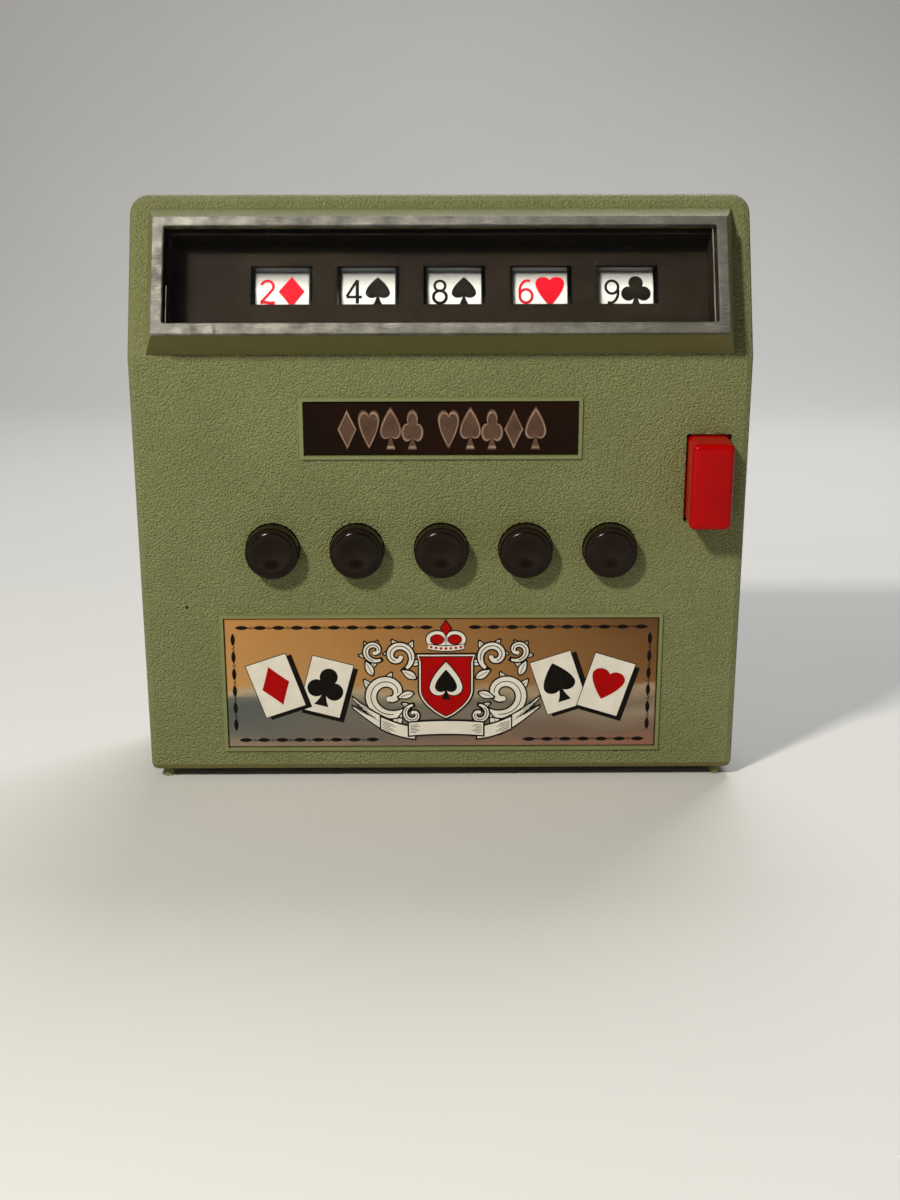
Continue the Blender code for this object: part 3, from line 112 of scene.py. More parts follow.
@dataclass(frozen=True)
class Place:
    """A flat local frame: x to the right, y up the surface and z out of it."""

    origin: np.ndarray
    up: np.ndarray
    out: np.ndarray

    @property
    def right(self) -> np.ndarray:
        """The local x axis, which is up crossed with out."""
        return np.cross(self.up, self.out)

    def world(self, points: np.ndarray) -> np.ndarray:
        """Carries local points into the row frame: origin plus x right, y up and z out."""
        return self.origin + np.asarray(points, float) @ np.stack([self.right, self.up, self.out])

    def local(self, points: np.ndarray) -> np.ndarray:
        """Carries row-frame points into this frame, by dot products with its three axes."""
        return (np.asarray(points, float) - self.origin) @ np.stack([self.right, self.up, self.out]).T

    def at(self, x: float, y: float, z: float = 0.0) -> "Place":
        """The same axes about another local point."""
        return Place(self.world(np.array([x, y, z])), self.up, self.out)

    def span(self, node: str) -> tuple[np.ndarray, np.ndarray]:
        """Measures a CAD node in this frame.

        Args:
            node: The node's name.

        Returns:
            The lowest and the highest local corner.
        """
        points = self.local(node_points(node))
        return points.min(axis=0), points.max(axis=0)

    def on(self, node: str) -> "Place":
        """The same axes about the middle of a CAD node's outer face."""
        low, high = self.span(node)
        return self.at(*((low + high) / 2)[:2], high[2])


def leaning_place(out: np.ndarray) -> Place:
    """A place through the row's origin whose z axis is out and whose x axis is +X."""
    out = out / np.linalg.norm(out)
    return Place(np.zeros(3), np.cross(out, (1.0, 0.0, 0.0)), out)


def front_normal(node: str) -> np.ndarray:
    """The normal of a CAD node's largest triangle that faces the player.

    Args:
        node: The node's name.

    Returns:
        The unit normal.
    """
    polygons = frame["nodes"][node].data.polygons
    facing = [polygon for polygon in polygons if polygon.normal.y < -0.5]
    return np.array(max(facing, key=lambda polygon: polygon.area).normal, float)


FACE = leaning_place(-np.array(joint("start_bar_press")["axis"], float))
WINDOW = leaning_place(front_normal("bezel_frame"))
SIDE = Place(np.zeros(3), np.array([0.0, 0.0, 1.0]), np.array([1.0, 0.0, 0.0]))
ACROSS = (1.0, 0.0, 0.0)
DOWN = (0.0, 0.0, -1.0)


@dataclass(frozen=True)
class Drum:
    """A local frame wrapped round a reel: x along the axis, y round the rim, z outward from it.

    A point at (x, y, z) lies at the angle y / radius up from straight out, radius + z from the axis.
    """

    axis: np.ndarray
    radius: float

    def world(self, points: np.ndarray) -> np.ndarray:
        """Carries local points into the row frame by winding y round the axis.

        Args:
            points: Local points, with x, y and z last.

        Returns:
            The axis point, plus x along it, plus the reach times the turned out and up directions.
        """
        x, y, z = np.moveaxis(np.asarray(points, float), -1, 0)
        angle = y / self.radius
        reach = self.radius + z
        return (
            self.axis
            + x[..., None] * np.array([1.0, 0.0, 0.0])
            + (reach * np.cos(angle))[..., None] * WINDOW.out
            + (reach * np.sin(angle))[..., None] * WINDOW.up
        )


# ---------------------------------------------------------------- surfaces


class Surface:
    """Points and faces gathered from several grids before they become one object."""

    def __init__(self) -> None:
        """Starts an empty surface."""
        self.points: list[np.ndarray] = []
        self.faces: list[list[int]] = []
        self.finishes: list[int] = []
        self.count = 0

    def grid(
        self,
        points: np.ndarray,
        finish: int = 0,
        around: bool = False,
        caps: bool = False,
    ) -> "Surface":
        """Adds a grid of points, with a quad between each four neighbours.

        Args:
            points: A (rows, columns, 3) array in the row frame.
            finish: The number of the grid's material.
            around: Whether the last column joins the first.
            caps: Whether the first and last row are each closed by one face.

        Returns:
            The surface itself.
        """
        rows, columns = points.shape[:2]
        index = np.arange(rows * columns).reshape(rows, columns) + self.count
        if around:
            index = np.concatenate([index, index[:, :1]], axis=1)
        quads = np.stack([index[:-1, :-1], index[:-1, 1:], index[1:, 1:], index[1:, :-1]], axis=-1)
        self.faces += quads.reshape(-1, 4).tolist()
        added = quads.shape[0] * quads.shape[1]
        if caps:
            self.faces += [index[0, :columns][::-1].tolist(), index[-1, :columns].tolist()]
            added += 2
        self.finishes += [finish] * added
        self.points.append(points.reshape(-1, 3))
        self.count += rows * columns
        return self

    def band(
        self, where: Carrier, left: np.ndarray, right: np.ndarray, low: float, high: float, finish: int = 0
    ) -> "Surface":
        """Adds a thin closed solid between two edge lines, straight across from one to the other.

        Args:
            where: The frame that the lines lie in.
            left: The left edge, as (n, 2) local points.
            right: The right edge, as (n, 2) local points.
            low: The height of its underside.
            high: The height of its face.
            finish: The number of its material.

        Returns:
            The surface itself.
        """
        corners = [(left, high), (right, high), (right, low), (left, low)]
        loops = [np.column_stack([edge, np.full(len(edge), height)]) for edge, height in corners]
        return self.grid(where.world(np.stack(loops, axis=1)), finish, around=True, caps=True)

    def stroke(
        self, where: Carrier, path: np.ndarray, width: float | np.ndarray, low: float, high: float,
        finish: int = 0,
    ) -> "Surface":
        """Adds a flat line of some width along a path: each edge is half the width to its side.

        Args:
            where: The frame that the path lies in.
            path: The middle of the line, as (n, 2) local points.
            width: Its width, one for all of it or one for each point.
            low: The height of its underside.
            high: The height of its face.
            finish: The number of its material.

        Returns:
            The surface itself.
        """
        ahead = np.gradient(path, axis=0)
        side = np.column_stack([-ahead[:, 1], ahead[:, 0]])
        side /= np.maximum(np.linalg.norm(side, axis=1, keepdims=True), 1e-12)
        reach = side * np.reshape(np.broadcast_to(width, len(path)), (-1, 1)) / 2
        return self.band(where, path + reach, path - reach, low, high, finish)

    def loft(
        self, where: Carrier, rings: Sequence[tuple[np.ndarray, float]], finish: int = 0, caps: bool = True
    ) -> "Surface":
        """Adds a solid through outlines of equal count, each at its own height.

        Args:
            where: The frame that the outlines lie in.
            rings: Each outline, as (n, 2) local points, with its height.
            finish: The number of its material.
            caps: Whether the first and last outline are each closed by one face.

        Returns:
            The surface itself.
        """
        stack = [np.column_stack([ring, np.full(len(ring), height)]) for ring, height in rings]
        return self.grid(where.world(np.stack(stack)), finish, around=True, caps=caps)

    def turned(self, where: Place, profile: np.ndarray, finish: int = 0, steps: int = 64) -> "Surface":
        """Adds a profile turned about the local z axis.

        Args:
            where: The frame that the axis belongs to.
            profile: Its (radius, height) points.
            finish: The number of its material.
            steps: How many points go round.

        Returns:
            The surface itself.
        """
        angle = np.linspace(0.0, 2 * np.pi, steps, endpoint=False)
        radius, height = profile[:, :1], np.broadcast_to(profile[:, 1:], (len(profile), steps))
        points = np.stack([radius * np.cos(angle), radius * np.sin(angle), height], axis=-1)
        return self.grid(where.world(points), finish, around=True)

    def tube(self, path: np.ndarray, radius: float, finish: int = 0, sides: int = 8) -> "Surface":
        """Adds a round wire: a circle carried along the path, square to it, with flat ends.

        Args:
            path: The wire's middle line in the row frame.
            radius: The wire's radius.
            finish: The number of its material.
            sides: How many points go round.

        Returns:
            The surface itself.
        """
        ahead = np.gradient(path, axis=0)
        ahead /= np.linalg.norm(ahead, axis=1, keepdims=True)
        first = np.cross(ahead, np.eye(3)[np.argmin(np.ptp(path, axis=0))])
        first /= np.linalg.norm(first, axis=1, keepdims=True)
        second = np.cross(ahead, first)
        angle = np.linspace(0.0, 2 * np.pi, sides, endpoint=False)[None, :, None]
        rings = path[:, None] + radius * (np.cos(angle) * first[:, None] + np.sin(angle) * second[:, None])
        return self.grid(rings, finish, around=True, caps=True)

    def finished(
        self, name: str, materials: Sequence[bpy.types.Material], sharp: float = 35.0
    ) -> bpy.types.Object:
        """Makes the object: doubles merged, normals outward, smooth except at sharp edges.

        Args:
            name: The piece's name.
            materials: Its materials, in the order of the finish numbers.
            sharp: The angle in degrees past which an edge stays sharp.

        Returns:
            The new object, at the origin.
        """
        mesh = bpy.data.meshes.new(name)
        mesh.from_pydata(np.concatenate(self.points), [], self.faces)
        mesh.polygons.foreach_set("material_index", np.array(self.finishes, np.int32))
        work = bmesh.new()
        work.from_mesh(mesh)
        bmesh.ops.remove_doubles(work, verts=work.verts, dist=SAME_POINT)
        bmesh.ops.dissolve_degenerate(work, edges=work.edges, dist=SAME_POINT / 2)
        bmesh.ops.recalc_face_normals(work, faces=work.faces)
        work.to_mesh(mesh)
        work.free()
        mesh.shade_smooth()
        mesh.set_sharp_from_angle(angle=math.radians(sharp))
        for material in materials:
            mesh.materials.append(material)
        piece = bpy.data.objects.new(name, mesh)
        bpy.context.scene.collection.objects.link(piece)
        return piece


def place_piece(piece: bpy.types.Object, body: str, replaced: Sequence[str] = ()) -> None:
    """Makes a piece ride on a body and stand for CAD nodes, and reports it.

    Args:
        piece: The finished object.
        body: The CAD body that it moves with.
        replaced: The CAD nodes that it stands for.
    """
    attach(piece, body)
    if replaced:
        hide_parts(*replaced)
    LOG.info("%s on %s: %d faces", piece.name, body, len(piece.data.polygons))


# ---------------------------------------------------------------- outlines


def arc(centre: Pair, radii: Pair, turn: Pair, count: int = 16) -> np.ndarray:
    """Points on an ellipse's arc between two angles in degrees."""
    angle = np.radians(np.linspace(*turn, count))
    return np.column_stack([centre[0] + radii[0] * np.cos(angle), centre[1] + radii[1] * np.sin(angle)])


def rounded_box(half_width: float, half_height: float, radius: float, count: int = 8) -> np.ndarray:
    """A rectangle about the origin with quarter-circle corners, counter-clockwise from the right.

    Args:
        half_width: Half its width.
        half_height: Half its height.
        radius: The corners' radius.
        count: How many points a corner has.

    Returns:
        The closed outline, as (4 * count, 2) points.
    """
    x, y = half_width - radius, half_height - radius
    centres = ((x, y), (-x, y), (-x, -y), (x, -y))
    quarters = [arc(c, (radius, radius), (90.0 * i, 90.0 * i + 90.0), count) for i, c in enumerate(centres)]
    return np.concatenate(quarters)


def inset_box(half_width: float, half_height: float, radius: float, distance: float) -> np.ndarray:
    """The rounded box moved in by a distance, with the same number of points."""
    return rounded_box(half_width - distance, half_height - distance, max(radius - distance, 0.01 * MM))


def turned_by(points: np.ndarray, degrees: float) -> np.ndarray:
    """Points turned about the origin."""
    c, s = math.cos(math.radians(degrees)), math.sin(math.radians(degrees))
    return points @ np.array([[c, s], [-s, c]])


# ---------------------------------------------------------------- node trees


class Net:
    """A node tree with short ways to add nodes and join them."""

    def __init__(self, tree: bpy.types.NodeTree) -> None:
        """Wraps a tree."""
        self.tree = tree

    def add(self, kind: str, inputs: Optional[dict] = None, **settings: object) -> bpy.types.Node:
        """Adds a node.

        Args:
            kind: The node's type, without its ShaderNode prefix.
            inputs: For each input's name or number, a value, or a socket to link to it.
            settings: The node's own properties.

        Returns:
            The node.
        """
        node = self.tree.nodes.new("ShaderNode" + kind)
        for key, value in settings.items():
            setattr(node, key, value)
        return self.fed(node, inputs or {})

    def fed(self, node: bpy.types.Node, inputs: dict) -> bpy.types.Node:
        """Gives a node its inputs.

        Args:
            node: The node.
            inputs: For each input's name or number, a value, or a socket to link to it.

        Returns:
            The node.
        """
        for key, value in inputs.items():
            if isinstance(value, bpy.types.NodeSocket):
                self.tree.links.new(value, node.inputs[key])
            else:
                node.inputs[key].default_value = value
        return node

    def noise(
        self, vector: Socket, scale: object, detail: float = 2.0, roughness: float = 0.5
    ) -> bpy.types.Node:
        """A Noise Texture node."""
        inputs = {"Vector": vector, "Scale": scale, "Detail": detail, "Roughness": roughness}
        return self.add("TexNoise", inputs)

    def along(self, vector: Socket, axis: Sequence[float]) -> Socket:
        """How far a vector reaches along an axis."""
        return self.add("VectorMath", {0: vector, 1: tuple(axis)}, operation="DOT_PRODUCT").outputs["Value"]

    def bent(self, vector: Socket, noise: bpy.types.Node, reach: float) -> Socket:
        """A vector moved by a noise's colour times a reach."""
        offset = self.add("VectorMath", {0: noise.outputs["Color"], "Scale": reach}, operation="SCALE")
        return self.add("VectorMath", {0: vector, 1: offset.outputs[0]}, operation="ADD").outputs[0]

    def maths(self, operation: str, *values: object) -> Socket:
        """The result of a Math node on values or sockets."""
        return self.add("Math", dict(enumerate(values)), operation=operation).outputs[0]

    def mix(self, factor: object, first: object, second: object) -> Socket:
        """A colour between two colours."""
        inputs = {0: factor, 6: first, 7: second}
        return self.add("Mix", inputs, data_type="RGBA").outputs[2]

    def spread(
        self, value: object, low: float, high: float, start: float = 0.0, end: float = 1.0
    ) -> Socket:
        """A value mapped from low..high to start..end and held between them."""
        inputs = {0: value, 1: low, 2: high, 3: start, 4: end}
        return self.add("MapRange", inputs).outputs[0]

    def effect(self, effect: "Effect", inputs: dict) -> bpy.types.Node:
        """Places a shared effect's group with its own values."""
        return self.add("Group", inputs, node_tree=effect.tree())


def grain_group(net: Net, vector: Socket, scale: Socket) -> dict:
    """Pebble grain: the smooth distance to scattered cell centres, bent by noise, with fine noise on it.

    Args:
        net: The group's nodes.
        vector: The place on the surface.
        scale: How many cells a metre holds.

    Returns:
        The Height socket: one less the distance, plus a share of the fine noise.
    """
    moved = net.bent(vector, net.noise(vector, scale), 0.4 * MM)
    cells = net.add("TexVoronoi", {"Vector": moved, "Scale": scale, "Smoothness": 0.6}, feature="SMOOTH_F1")
    fine = net.noise(moved, net.maths("MULTIPLY", scale, 2.6), 3.0)
    height = net.maths("SUBTRACT", 1.0, cells.outputs["Distance"])
    return {"Height": net.maths("MULTIPLY_ADD", fine.outputs["Fac"], 0.3, height)}


def streak_group(net: Net, vector: Socket, scale: Socket) -> dict:
    """Brushed streaks: noise drawn out along X, so that it varies mostly across the brushing.

    Args:
        net: The group's nodes.
        vector: The place on the surface.
        scale: The noise's scale across the streaks.

    Returns:
        The Height socket.
    """
    drawn = net.add("Mapping", {"Vector": vector, "Scale": (0.035, 1.0, 1.0)}).outputs[0]
    return {"Height": net.noise(drawn, scale, 6.0, 0.7).outputs["Fac"]}


def drift_group(net: Net, vector: Socket, scale: Socket, colour: Socket, second: Socket) -> dict:
    """Tone drift: a slow noise moves the colour from one tone to the other.

    Args:
        net: The group's nodes.
        vector: The place on the surface.
        scale: The noise's scale.
        colour: The first tone.
        second: The second tone.

    Returns:
        The Color socket, and the Mask socket, which is the second tone's share.
    """
    share = net.spread(net.noise(vector, scale, 4.0).outputs["Fac"], 0.3, 0.7)
    return {"Color": net.mix(share, colour, second), "Mask": share}


def dust_group(net: Net, vector: Socket, scale: Socket, amount: Socket) -> dict:
    """Dust: specks where a point is very near a scattered cell centre, for some of the cells.

    Args:
        net: The group's nodes.
        vector: The place on the surface.
        scale: How many cells a metre holds.
        amount: How strong the specks are.

    Returns:
        The Mask socket.
    """
    cells = net.add("TexVoronoi", {"Vector": vector, "Scale": scale})
    speck = net.spread(cells.outputs["Distance"], 0.07, 0.16, 1.0, 0.0)
    some = net.spread(net.add("SeparateColor", {0: cells.outputs["Color"]}).outputs[0], 0.72, 0.78)
    return {"Mask": net.maths("MULTIPLY", net.maths("MULTIPLY", speck, some), amount)}


def scratch_group(net: Net, vector: Socket, scale: Socket, amount: Socket) -> dict:
    """Scratches: thin lines along bent cell borders, kept only where a second noise is high.

    Args:
        net: The group's nodes.
        vector: The place on the surface.
        scale: How many cells a metre holds.
        amount: How strong the scratches are.

    Returns:
        The Mask socket.
    """
    moved = net.bent(vector, net.noise(vector, scale, 1.0), 4.0 * MM)
    cells = net.add("TexVoronoi", {"Vector": moved, "Scale": scale}, feature="DISTANCE_TO_EDGE")
    line = net.spread(cells.outputs["Distance"], 0.004, 0.014, 1.0, 0.0)
    kept = net.spread(net.noise(vector, scale).outputs["Fac"], 0.55, 0.62)
    return {"Mask": net.maths("MULTIPLY", net.maths("MULTIPLY", line, kept), amount)}


class Effect(Enum):
    """The surface effects that several finishes share, each one node group."""

    GRAIN = ("pebble_grain", ("Vector", "Scale"), ("Height",), grain_group)
    STREAKS = ("brushed_streaks", ("Vector", "Scale"), ("Height",), streak_group)
    DRIFT = ("tone_drift", ("Vector", "Scale", "Color", "Second"), ("Color", "Mask"), drift_group)
    DUST = ("fine_dust", ("Vector", "Scale", "Amount"), ("Mask",), dust_group)
    SCRATCHES = ("light_scratches", ("Vector", "Scale", "Amount"), ("Mask",), scratch_group)

    def tree(self) -> bpy.types.NodeTree:
        """Makes the effect's node group the first time that it is asked for.

        Returns:
            The group.
        """
        name, inputs, outputs, fill = self.value
        found = bpy.data.node_groups.get(name)
        if found:
            return found
        tree = bpy.data.node_groups.new(name, "ShaderNodeTree")
        kinds = {"Vector": "NodeSocketVector", "Color": "NodeSocketColor", "Second": "NodeSocketColor"}
        for side, sockets in (("INPUT", inputs), ("OUTPUT", outputs)):
            for socket in sockets:
                kind = kinds.get(socket, "NodeSocketFloat")
                tree.interface.new_socket(socket, in_out=side, socket_type=kind)
        net = Net(tree)
        given = tree.nodes.new("NodeGroupInput")
        result = fill(net, *(given.outputs[socket] for socket in inputs))
        out = tree.nodes.new("NodeGroupOutput")
        for socket, value in result.items():
            tree.links.new(value, out.inputs[socket])
        return tree


# ---------------------------------------------------------------- finishes


@dataclass(frozen=True)
class Finish:
    """A surface finish: two tones that drift, a roughness that varies, and small relief."""

    name: str
    colour: Colour
    second: Colour
    roughness: float
    unevenness: float = 0.08
    metallic: float = 0.0
    coat: float = 0.0
    shine: float = 0.4
    drift_scale: float = 45.0
    relief: Optional[Effect] = None
    relief_scale: float = 900.0
    relief_depth: float = 0.0
    dust: float = 0.0
    dust_scale: float = 420.0
    dust_colour: Colour = (0.5, 0.47, 0.4)
    scratches: float = 0.0
    scratch_scale: float = 60.0

    def material(self) -> bpy.types.Material:
        """Makes the finish's material the first time that it is asked for.

        Returns:
            The material.
        """
        found = bpy.data.materials.get(self.name)
        if found:
            return found
        material = bpy.data.materials.new(self.name)
        material.use_nodes = True
        material.diffuse_color = (*self.colour, 1.0)
        net = Net(material.node_tree)
        shader = material.node_tree.nodes["Principled BSDF"]
        shader.inputs["Metallic"].default_value = self.metallic
        shader.inputs["Coat Weight"].default_value = self.coat
        shader.inputs["Coat Roughness"].default_value = 0.08
        shader.inputs["Specular IOR Level"].default_value = self.shine
        place = net.add("TexCoord").outputs["Object"]
        colour, rough = self.tones(net, place)
        link = material.node_tree.links.new
        link(colour, shader.inputs["Base Color"])
        link(rough, shader.inputs["Roughness"])
        if self.relief:
            inputs = {"Vector": place, "Scale": self.relief_scale}
            raised = self.masked(net, place, net.effect(self.relief, inputs).outputs["Height"])
            bump = net.add("Bump", {"Height": raised, "Distance": self.relief_depth, "Strength": 1.0})
            link(bump.outputs[0], shader.inputs["Normal"])
        return material

    def masked(self, net: Net, place: Socket, raised: Socket) -> Socket:
        """The relief's height where it is kept: here, everywhere."""
        return raised

    def base(self, net: Net, place: Socket) -> bpy.types.Node:
        """The drifting tone under the dust and scratches, as a node with Color and Mask outputs."""
        return self.drifting(net, place, (*self.colour, 1.0), (*self.second, 1.0))

    def drifting(self, net: Net, place: Socket, first: object, second: object) -> bpy.types.Node:
        """The tone drift between two colours or sockets."""
        inputs = {"Vector": place, "Scale": self.drift_scale, "Color": first, "Second": second}
        return net.effect(Effect.DRIFT, inputs)

    def tones(self, net: Net, place: Socket) -> tuple[Socket, Socket]:
        """Builds the colour and the roughness.

        Args:
            net: The material's nodes.
            place: The object coordinates.

        Returns:
            The colour's socket and the roughness's socket.
        """
        base = self.base(net, place)
        colour = base.outputs["Color"]
        limits = (self.roughness - self.unevenness, self.roughness + self.unevenness)
        rough = net.spread(base.outputs["Mask"], 0.0, 1.0, *limits)
        if self.dust:
            inputs = {"Vector": place, "Scale": self.dust_scale, "Amount": self.dust}
            specks = net.effect(Effect.DUST, inputs).outputs["Mask"]
            colour = net.mix(specks, colour, (*self.dust_colour, 1.0))
            rough = net.maths("MAXIMUM", rough, net.maths("MULTIPLY", specks, 0.8))
        if self.scratches:
            inputs = {"Vector": place, "Scale": self.scratch_scale, "Amount": self.scratches}
            lines = net.effect(Effect.SCRATCHES, inputs).outputs["Mask"]
            bright = (min(1.0, part * 1.5 + 0.04) for part in self.colour)
            colour = net.mix(lines, colour, (*bright, 1.0))
            rough = net.maths("MULTIPLY_ADD", lines, 0.25, rough)
        return colour, rough


@dataclass(frozen=True)
class CaseFinish(Finish):
    """The case's plastic: grained on its broad faces, smooth on the hood's edges and the plate rims."""

    rim: float = 1.55 * MM
    hood_half: float = 80.5 * MM
    hood_depth: float = 30.0 * MM
    # The colour of the painted shade under the hood, laid where the plastic faces down.
    underside_shade: Colour = (0.12, 0.108, 0.03)

    def base(self, net: Net, place: Socket) -> bpy.types.Node:
        """The drifting green, mixed with a painted shade of dark brown where the plastic faces down.

        Args:
            net: The material's nodes.
            place: The object coordinates.

        Returns:
            The drift's node.
        """
        # Painted shade: the green turns to dark brown where the normal faces down, for the shade under the hood.
        down = net.along(net.add("TexCoord").outputs["Normal"], DOWN)
        share = net.spread(down, 0.2, 0.4)
        tones = [net.mix(share, (*tone, 1.0), (*self.underside_shade, 1.0)) for tone in (self.colour, self.second)]
        return self.drifting(net, place, *tones)

    def masked(self, net: Net, place: Socket, raised: Socket) -> Socket:
        """Flattens the grain on the hood's foremost border, sides and underside, and round each plate.

        A point is on the border where it faces out of the window at the very front, on a side where
        it faces along X inside the case's own sides, and round a plate where it is within the rim.

        Args:
            net: The material's nodes.
            place: The object coordinates.
            raised: The grain's height.

        Returns:
            The height, times 0 where the plastic is smooth and 1 elsewhere.
        """
        normal = net.add("TexCoord").outputs["Normal"]
        x = net.along(place, ACROSS)
        facing = net.spread(net.along(normal, WINDOW.out), 0.96, 0.985)
        front = WINDOW.span("bezel_frame")[0][2] - 1.0 * MM
        fore = net.maths("GREATER_THAN", net.along(place, WINDOW.out), front)
        sides = net.maths("GREATER_THAN", net.maths("ABSOLUTE", net.along(normal, ACROSS)), 0.5)
        inner = net.maths("LESS_THAN", net.maths("ABSOLUTE", x), self.hood_half)
        ahead = net.maths("GREATER_THAN", net.along(place, (0.0, -1.0, 0.0)), self.hood_depth)
        smooth = [
            net.maths("MULTIPLY", facing, fore),
            net.maths("MULTIPLY", net.maths("MULTIPLY", sides, inner), ahead),
            net.spread(net.along(normal, DOWN), 0.3, 0.4),
        ]
        rise = net.along(place, FACE.up)
        near = net.maths("GREATER_THAN", net.along(normal, FACE.out), -0.5)
        for node in ("nameplate", "emblem_plate"):
            low, high = FACE.span(node)
            within = near
            for value, start, end in zip((x, rise), low, high):
                off = net.maths("ABSOLUTE", net.maths("SUBTRACT", value, (start + end) / 2))
                beside = net.maths("LESS_THAN", off, (end - start) / 2 + self.rim)
                within = net.maths("MULTIPLY", within, beside)
            smooth.append(within)
        flat = smooth[0]
        for mask in smooth[1:]:
            flat = net.maths("MAXIMUM", flat, mask)
        return net.maths("MULTIPLY", raised, net.maths("SUBTRACT", 1.0, flat))


@dataclass(frozen=True)
class SideShadedFinish(Finish):
    """A finish painted darker from the machine's left to its right, as painted shade of a light from the left, as
    well as drifting.
    """

    # The colour of the painted shade toward the right end, away from the light.
    right_shade: Colour = (0.095, 0.09, 0.08)
    reach: float = 78.0 * MM

    def base(self, net: Net, place: Socket) -> bpy.types.Node:
        """Mixes in the painted shade along X, with a stretched noise added to the share.

        Args:
            net: The material's nodes.
            place: The object coordinates.

        Returns:
            The drift's node.
        """
        drawn = net.add("Mapping", {"Vector": place, "Scale": (0.3, 1.0, 1.0)}).outputs[0]
        noise = net.noise(drawn, 260.0, 5.0, 0.65).outputs["Fac"]
        # Painted shade: the darker tone's share grows from left to right, for the light from the left.
        share = net.spread(net.along(place, ACROSS), -self.reach, self.reach, 0.05, 0.85)
        bent = net.maths("MULTIPLY_ADD", net.maths("SUBTRACT", noise, 0.5), 1.1, share)
        shaded = net.mix(net.spread(bent, 0.0, 1.0), (*self.colour, 1.0), (*self.right_shade, 1.0))
        return self.drifting(net, place, shaded, (*self.second, 1.0))


@dataclass(frozen=True)
class FoilFinish(Finish):
    """Gold foil with painted reflections: its tone changes in soft level bands up the plate, as a bright foil's
    reflections do, and its upper right is painted darker as shade.
    """

    origin: tuple[float, float, float] = (0.0, 0.0, 0.0)
    height: float = 39.0 * MM
    width: float = 122.0 * MM
    # Painted reflections: each ramp's bands stand in for what the bright foil reflects; the right ramp's darker
    # gold is painted shade.
    left_reflection_bands: tuple = (
        (0.0, (0.3, 0.22, 0.16)), (0.1, (0.14, 0.14, 0.12)), (0.28, (0.09, 0.105, 0.1)),
        (0.38, (0.16, 0.16, 0.13)), (0.44, (0.46, 0.37, 0.25)), (0.49, (0.54, 0.29, 0.1)),
        (1.0, (0.5, 0.24, 0.07)),
    )
    right_reflection_bands: tuple = (
        (0.0, (0.28, 0.12, 0.08)), (0.12, (0.2, 0.12, 0.08)), (0.26, (0.3, 0.23, 0.16)),
        (0.36, (0.2, 0.15, 0.1)), (0.43, (0.36, 0.27, 0.17)), (0.49, (0.19, 0.085, 0.025)),
        (1.0, (0.1, 0.042, 0.011)),
    )

    def base(self, net: Net, place: Socket) -> bpy.types.Node:
        """The foil's gold with painted reflections and shade: gold above, cream in the middle, grey-green and rose
        below.

        A height of 0 to 1 up the plate, bent by noise, is looked up in two ramps of painted reflection, one for
        the left end and one for the right, whose gold above is painted darker as shade, and they are mixed along
        the plate.

        Args:
            net: The material's nodes.
            place: The object coordinates.

        Returns:
            The drift's node.
        """
        centred = net.add("VectorMath", {0: place, 1: self.origin}, operation="SUBTRACT").outputs[0]
        parts = net.add("SeparateXYZ", {0: centred})
        stretched = net.add("Mapping", {"Vector": centred, "Scale": (0.35, 1.0, 1.0)}).outputs[0]
        noise = net.noise(stretched, 110.0, 4.0).outputs["Fac"]
        lift = net.maths("MULTIPLY_ADD", net.maths("SUBTRACT", noise, 0.5), 0.3, 0.5)
        level = net.maths("ADD", net.maths("DIVIDE", parts.outputs["Z"], self.height), lift)
        along = net.spread(parts.outputs["X"], -self.width / 2, self.width / 2)
        left, right = self.ramp(net, level, self.left_reflection_bands), self.ramp(net, level, self.right_reflection_bands)
        mixed = net.mix(along, left, right)
        return self.drifting(net, place, mixed, mixed)

    def ramp(self, net: Net, level: Socket, bands: Sequence[tuple[float, Colour]]) -> Socket:
        """Looks a level up in bands of colour.

        Args:
            net: The material's nodes.
            level: The level, from 0 to 1.
            bands: Each band's level and colour.

        Returns:
            The colour's socket.
        """
        ramp = net.add("ValToRGB", {0: level})
        while len(ramp.color_ramp.elements) < len(bands):
            ramp.color_ramp.elements.new(0.5)
        for element, (position, tone) in zip(ramp.color_ramp.elements, bands):
            element.position = position
            element.color = (*tone, 1.0)
        return ramp.outputs["Color"]


@dataclass(frozen=True)
class StripFinish(Finish):
    """Card paper with a painted grey shadow, the shadow of the window's top edge, whose depth each point of the
    mesh carries as "shade".
    """

    # The grey of the painted shadow that the window's top edge casts on the card.
    shadow_grey: Colour = (0.035, 0.035, 0.032)

    def base(self, net: Net, place: Socket) -> bpy.types.Node:
        """The paper's tone: white, mixed with the painted shadow's grey by the point's shade, roughened by noise.

        Args:
            net: The material's nodes.
            place: The object coordinates.

        Returns:
            The drift's node.
        """
        # Painted shadow: the paper turns grey toward each card's top, for the shadow of the window's top edge.
        shade = net.add("Attribute", attribute_name="shade").outputs["Fac"]
        noise = net.noise(place, 1200.0, 4.0).outputs["Fac"]
        bent = net.maths("MULTIPLY_ADD", net.maths("SUBTRACT", noise, 0.5), 0.12, shade)
        depth = net.spread(bent, 0.0, 1.0)
        tones = [net.mix(depth, (*tone, 1.0), (*self.shadow_grey, 1.0)) for tone in (self.colour, self.second)]
        return self.drifting(net, place, *tones)


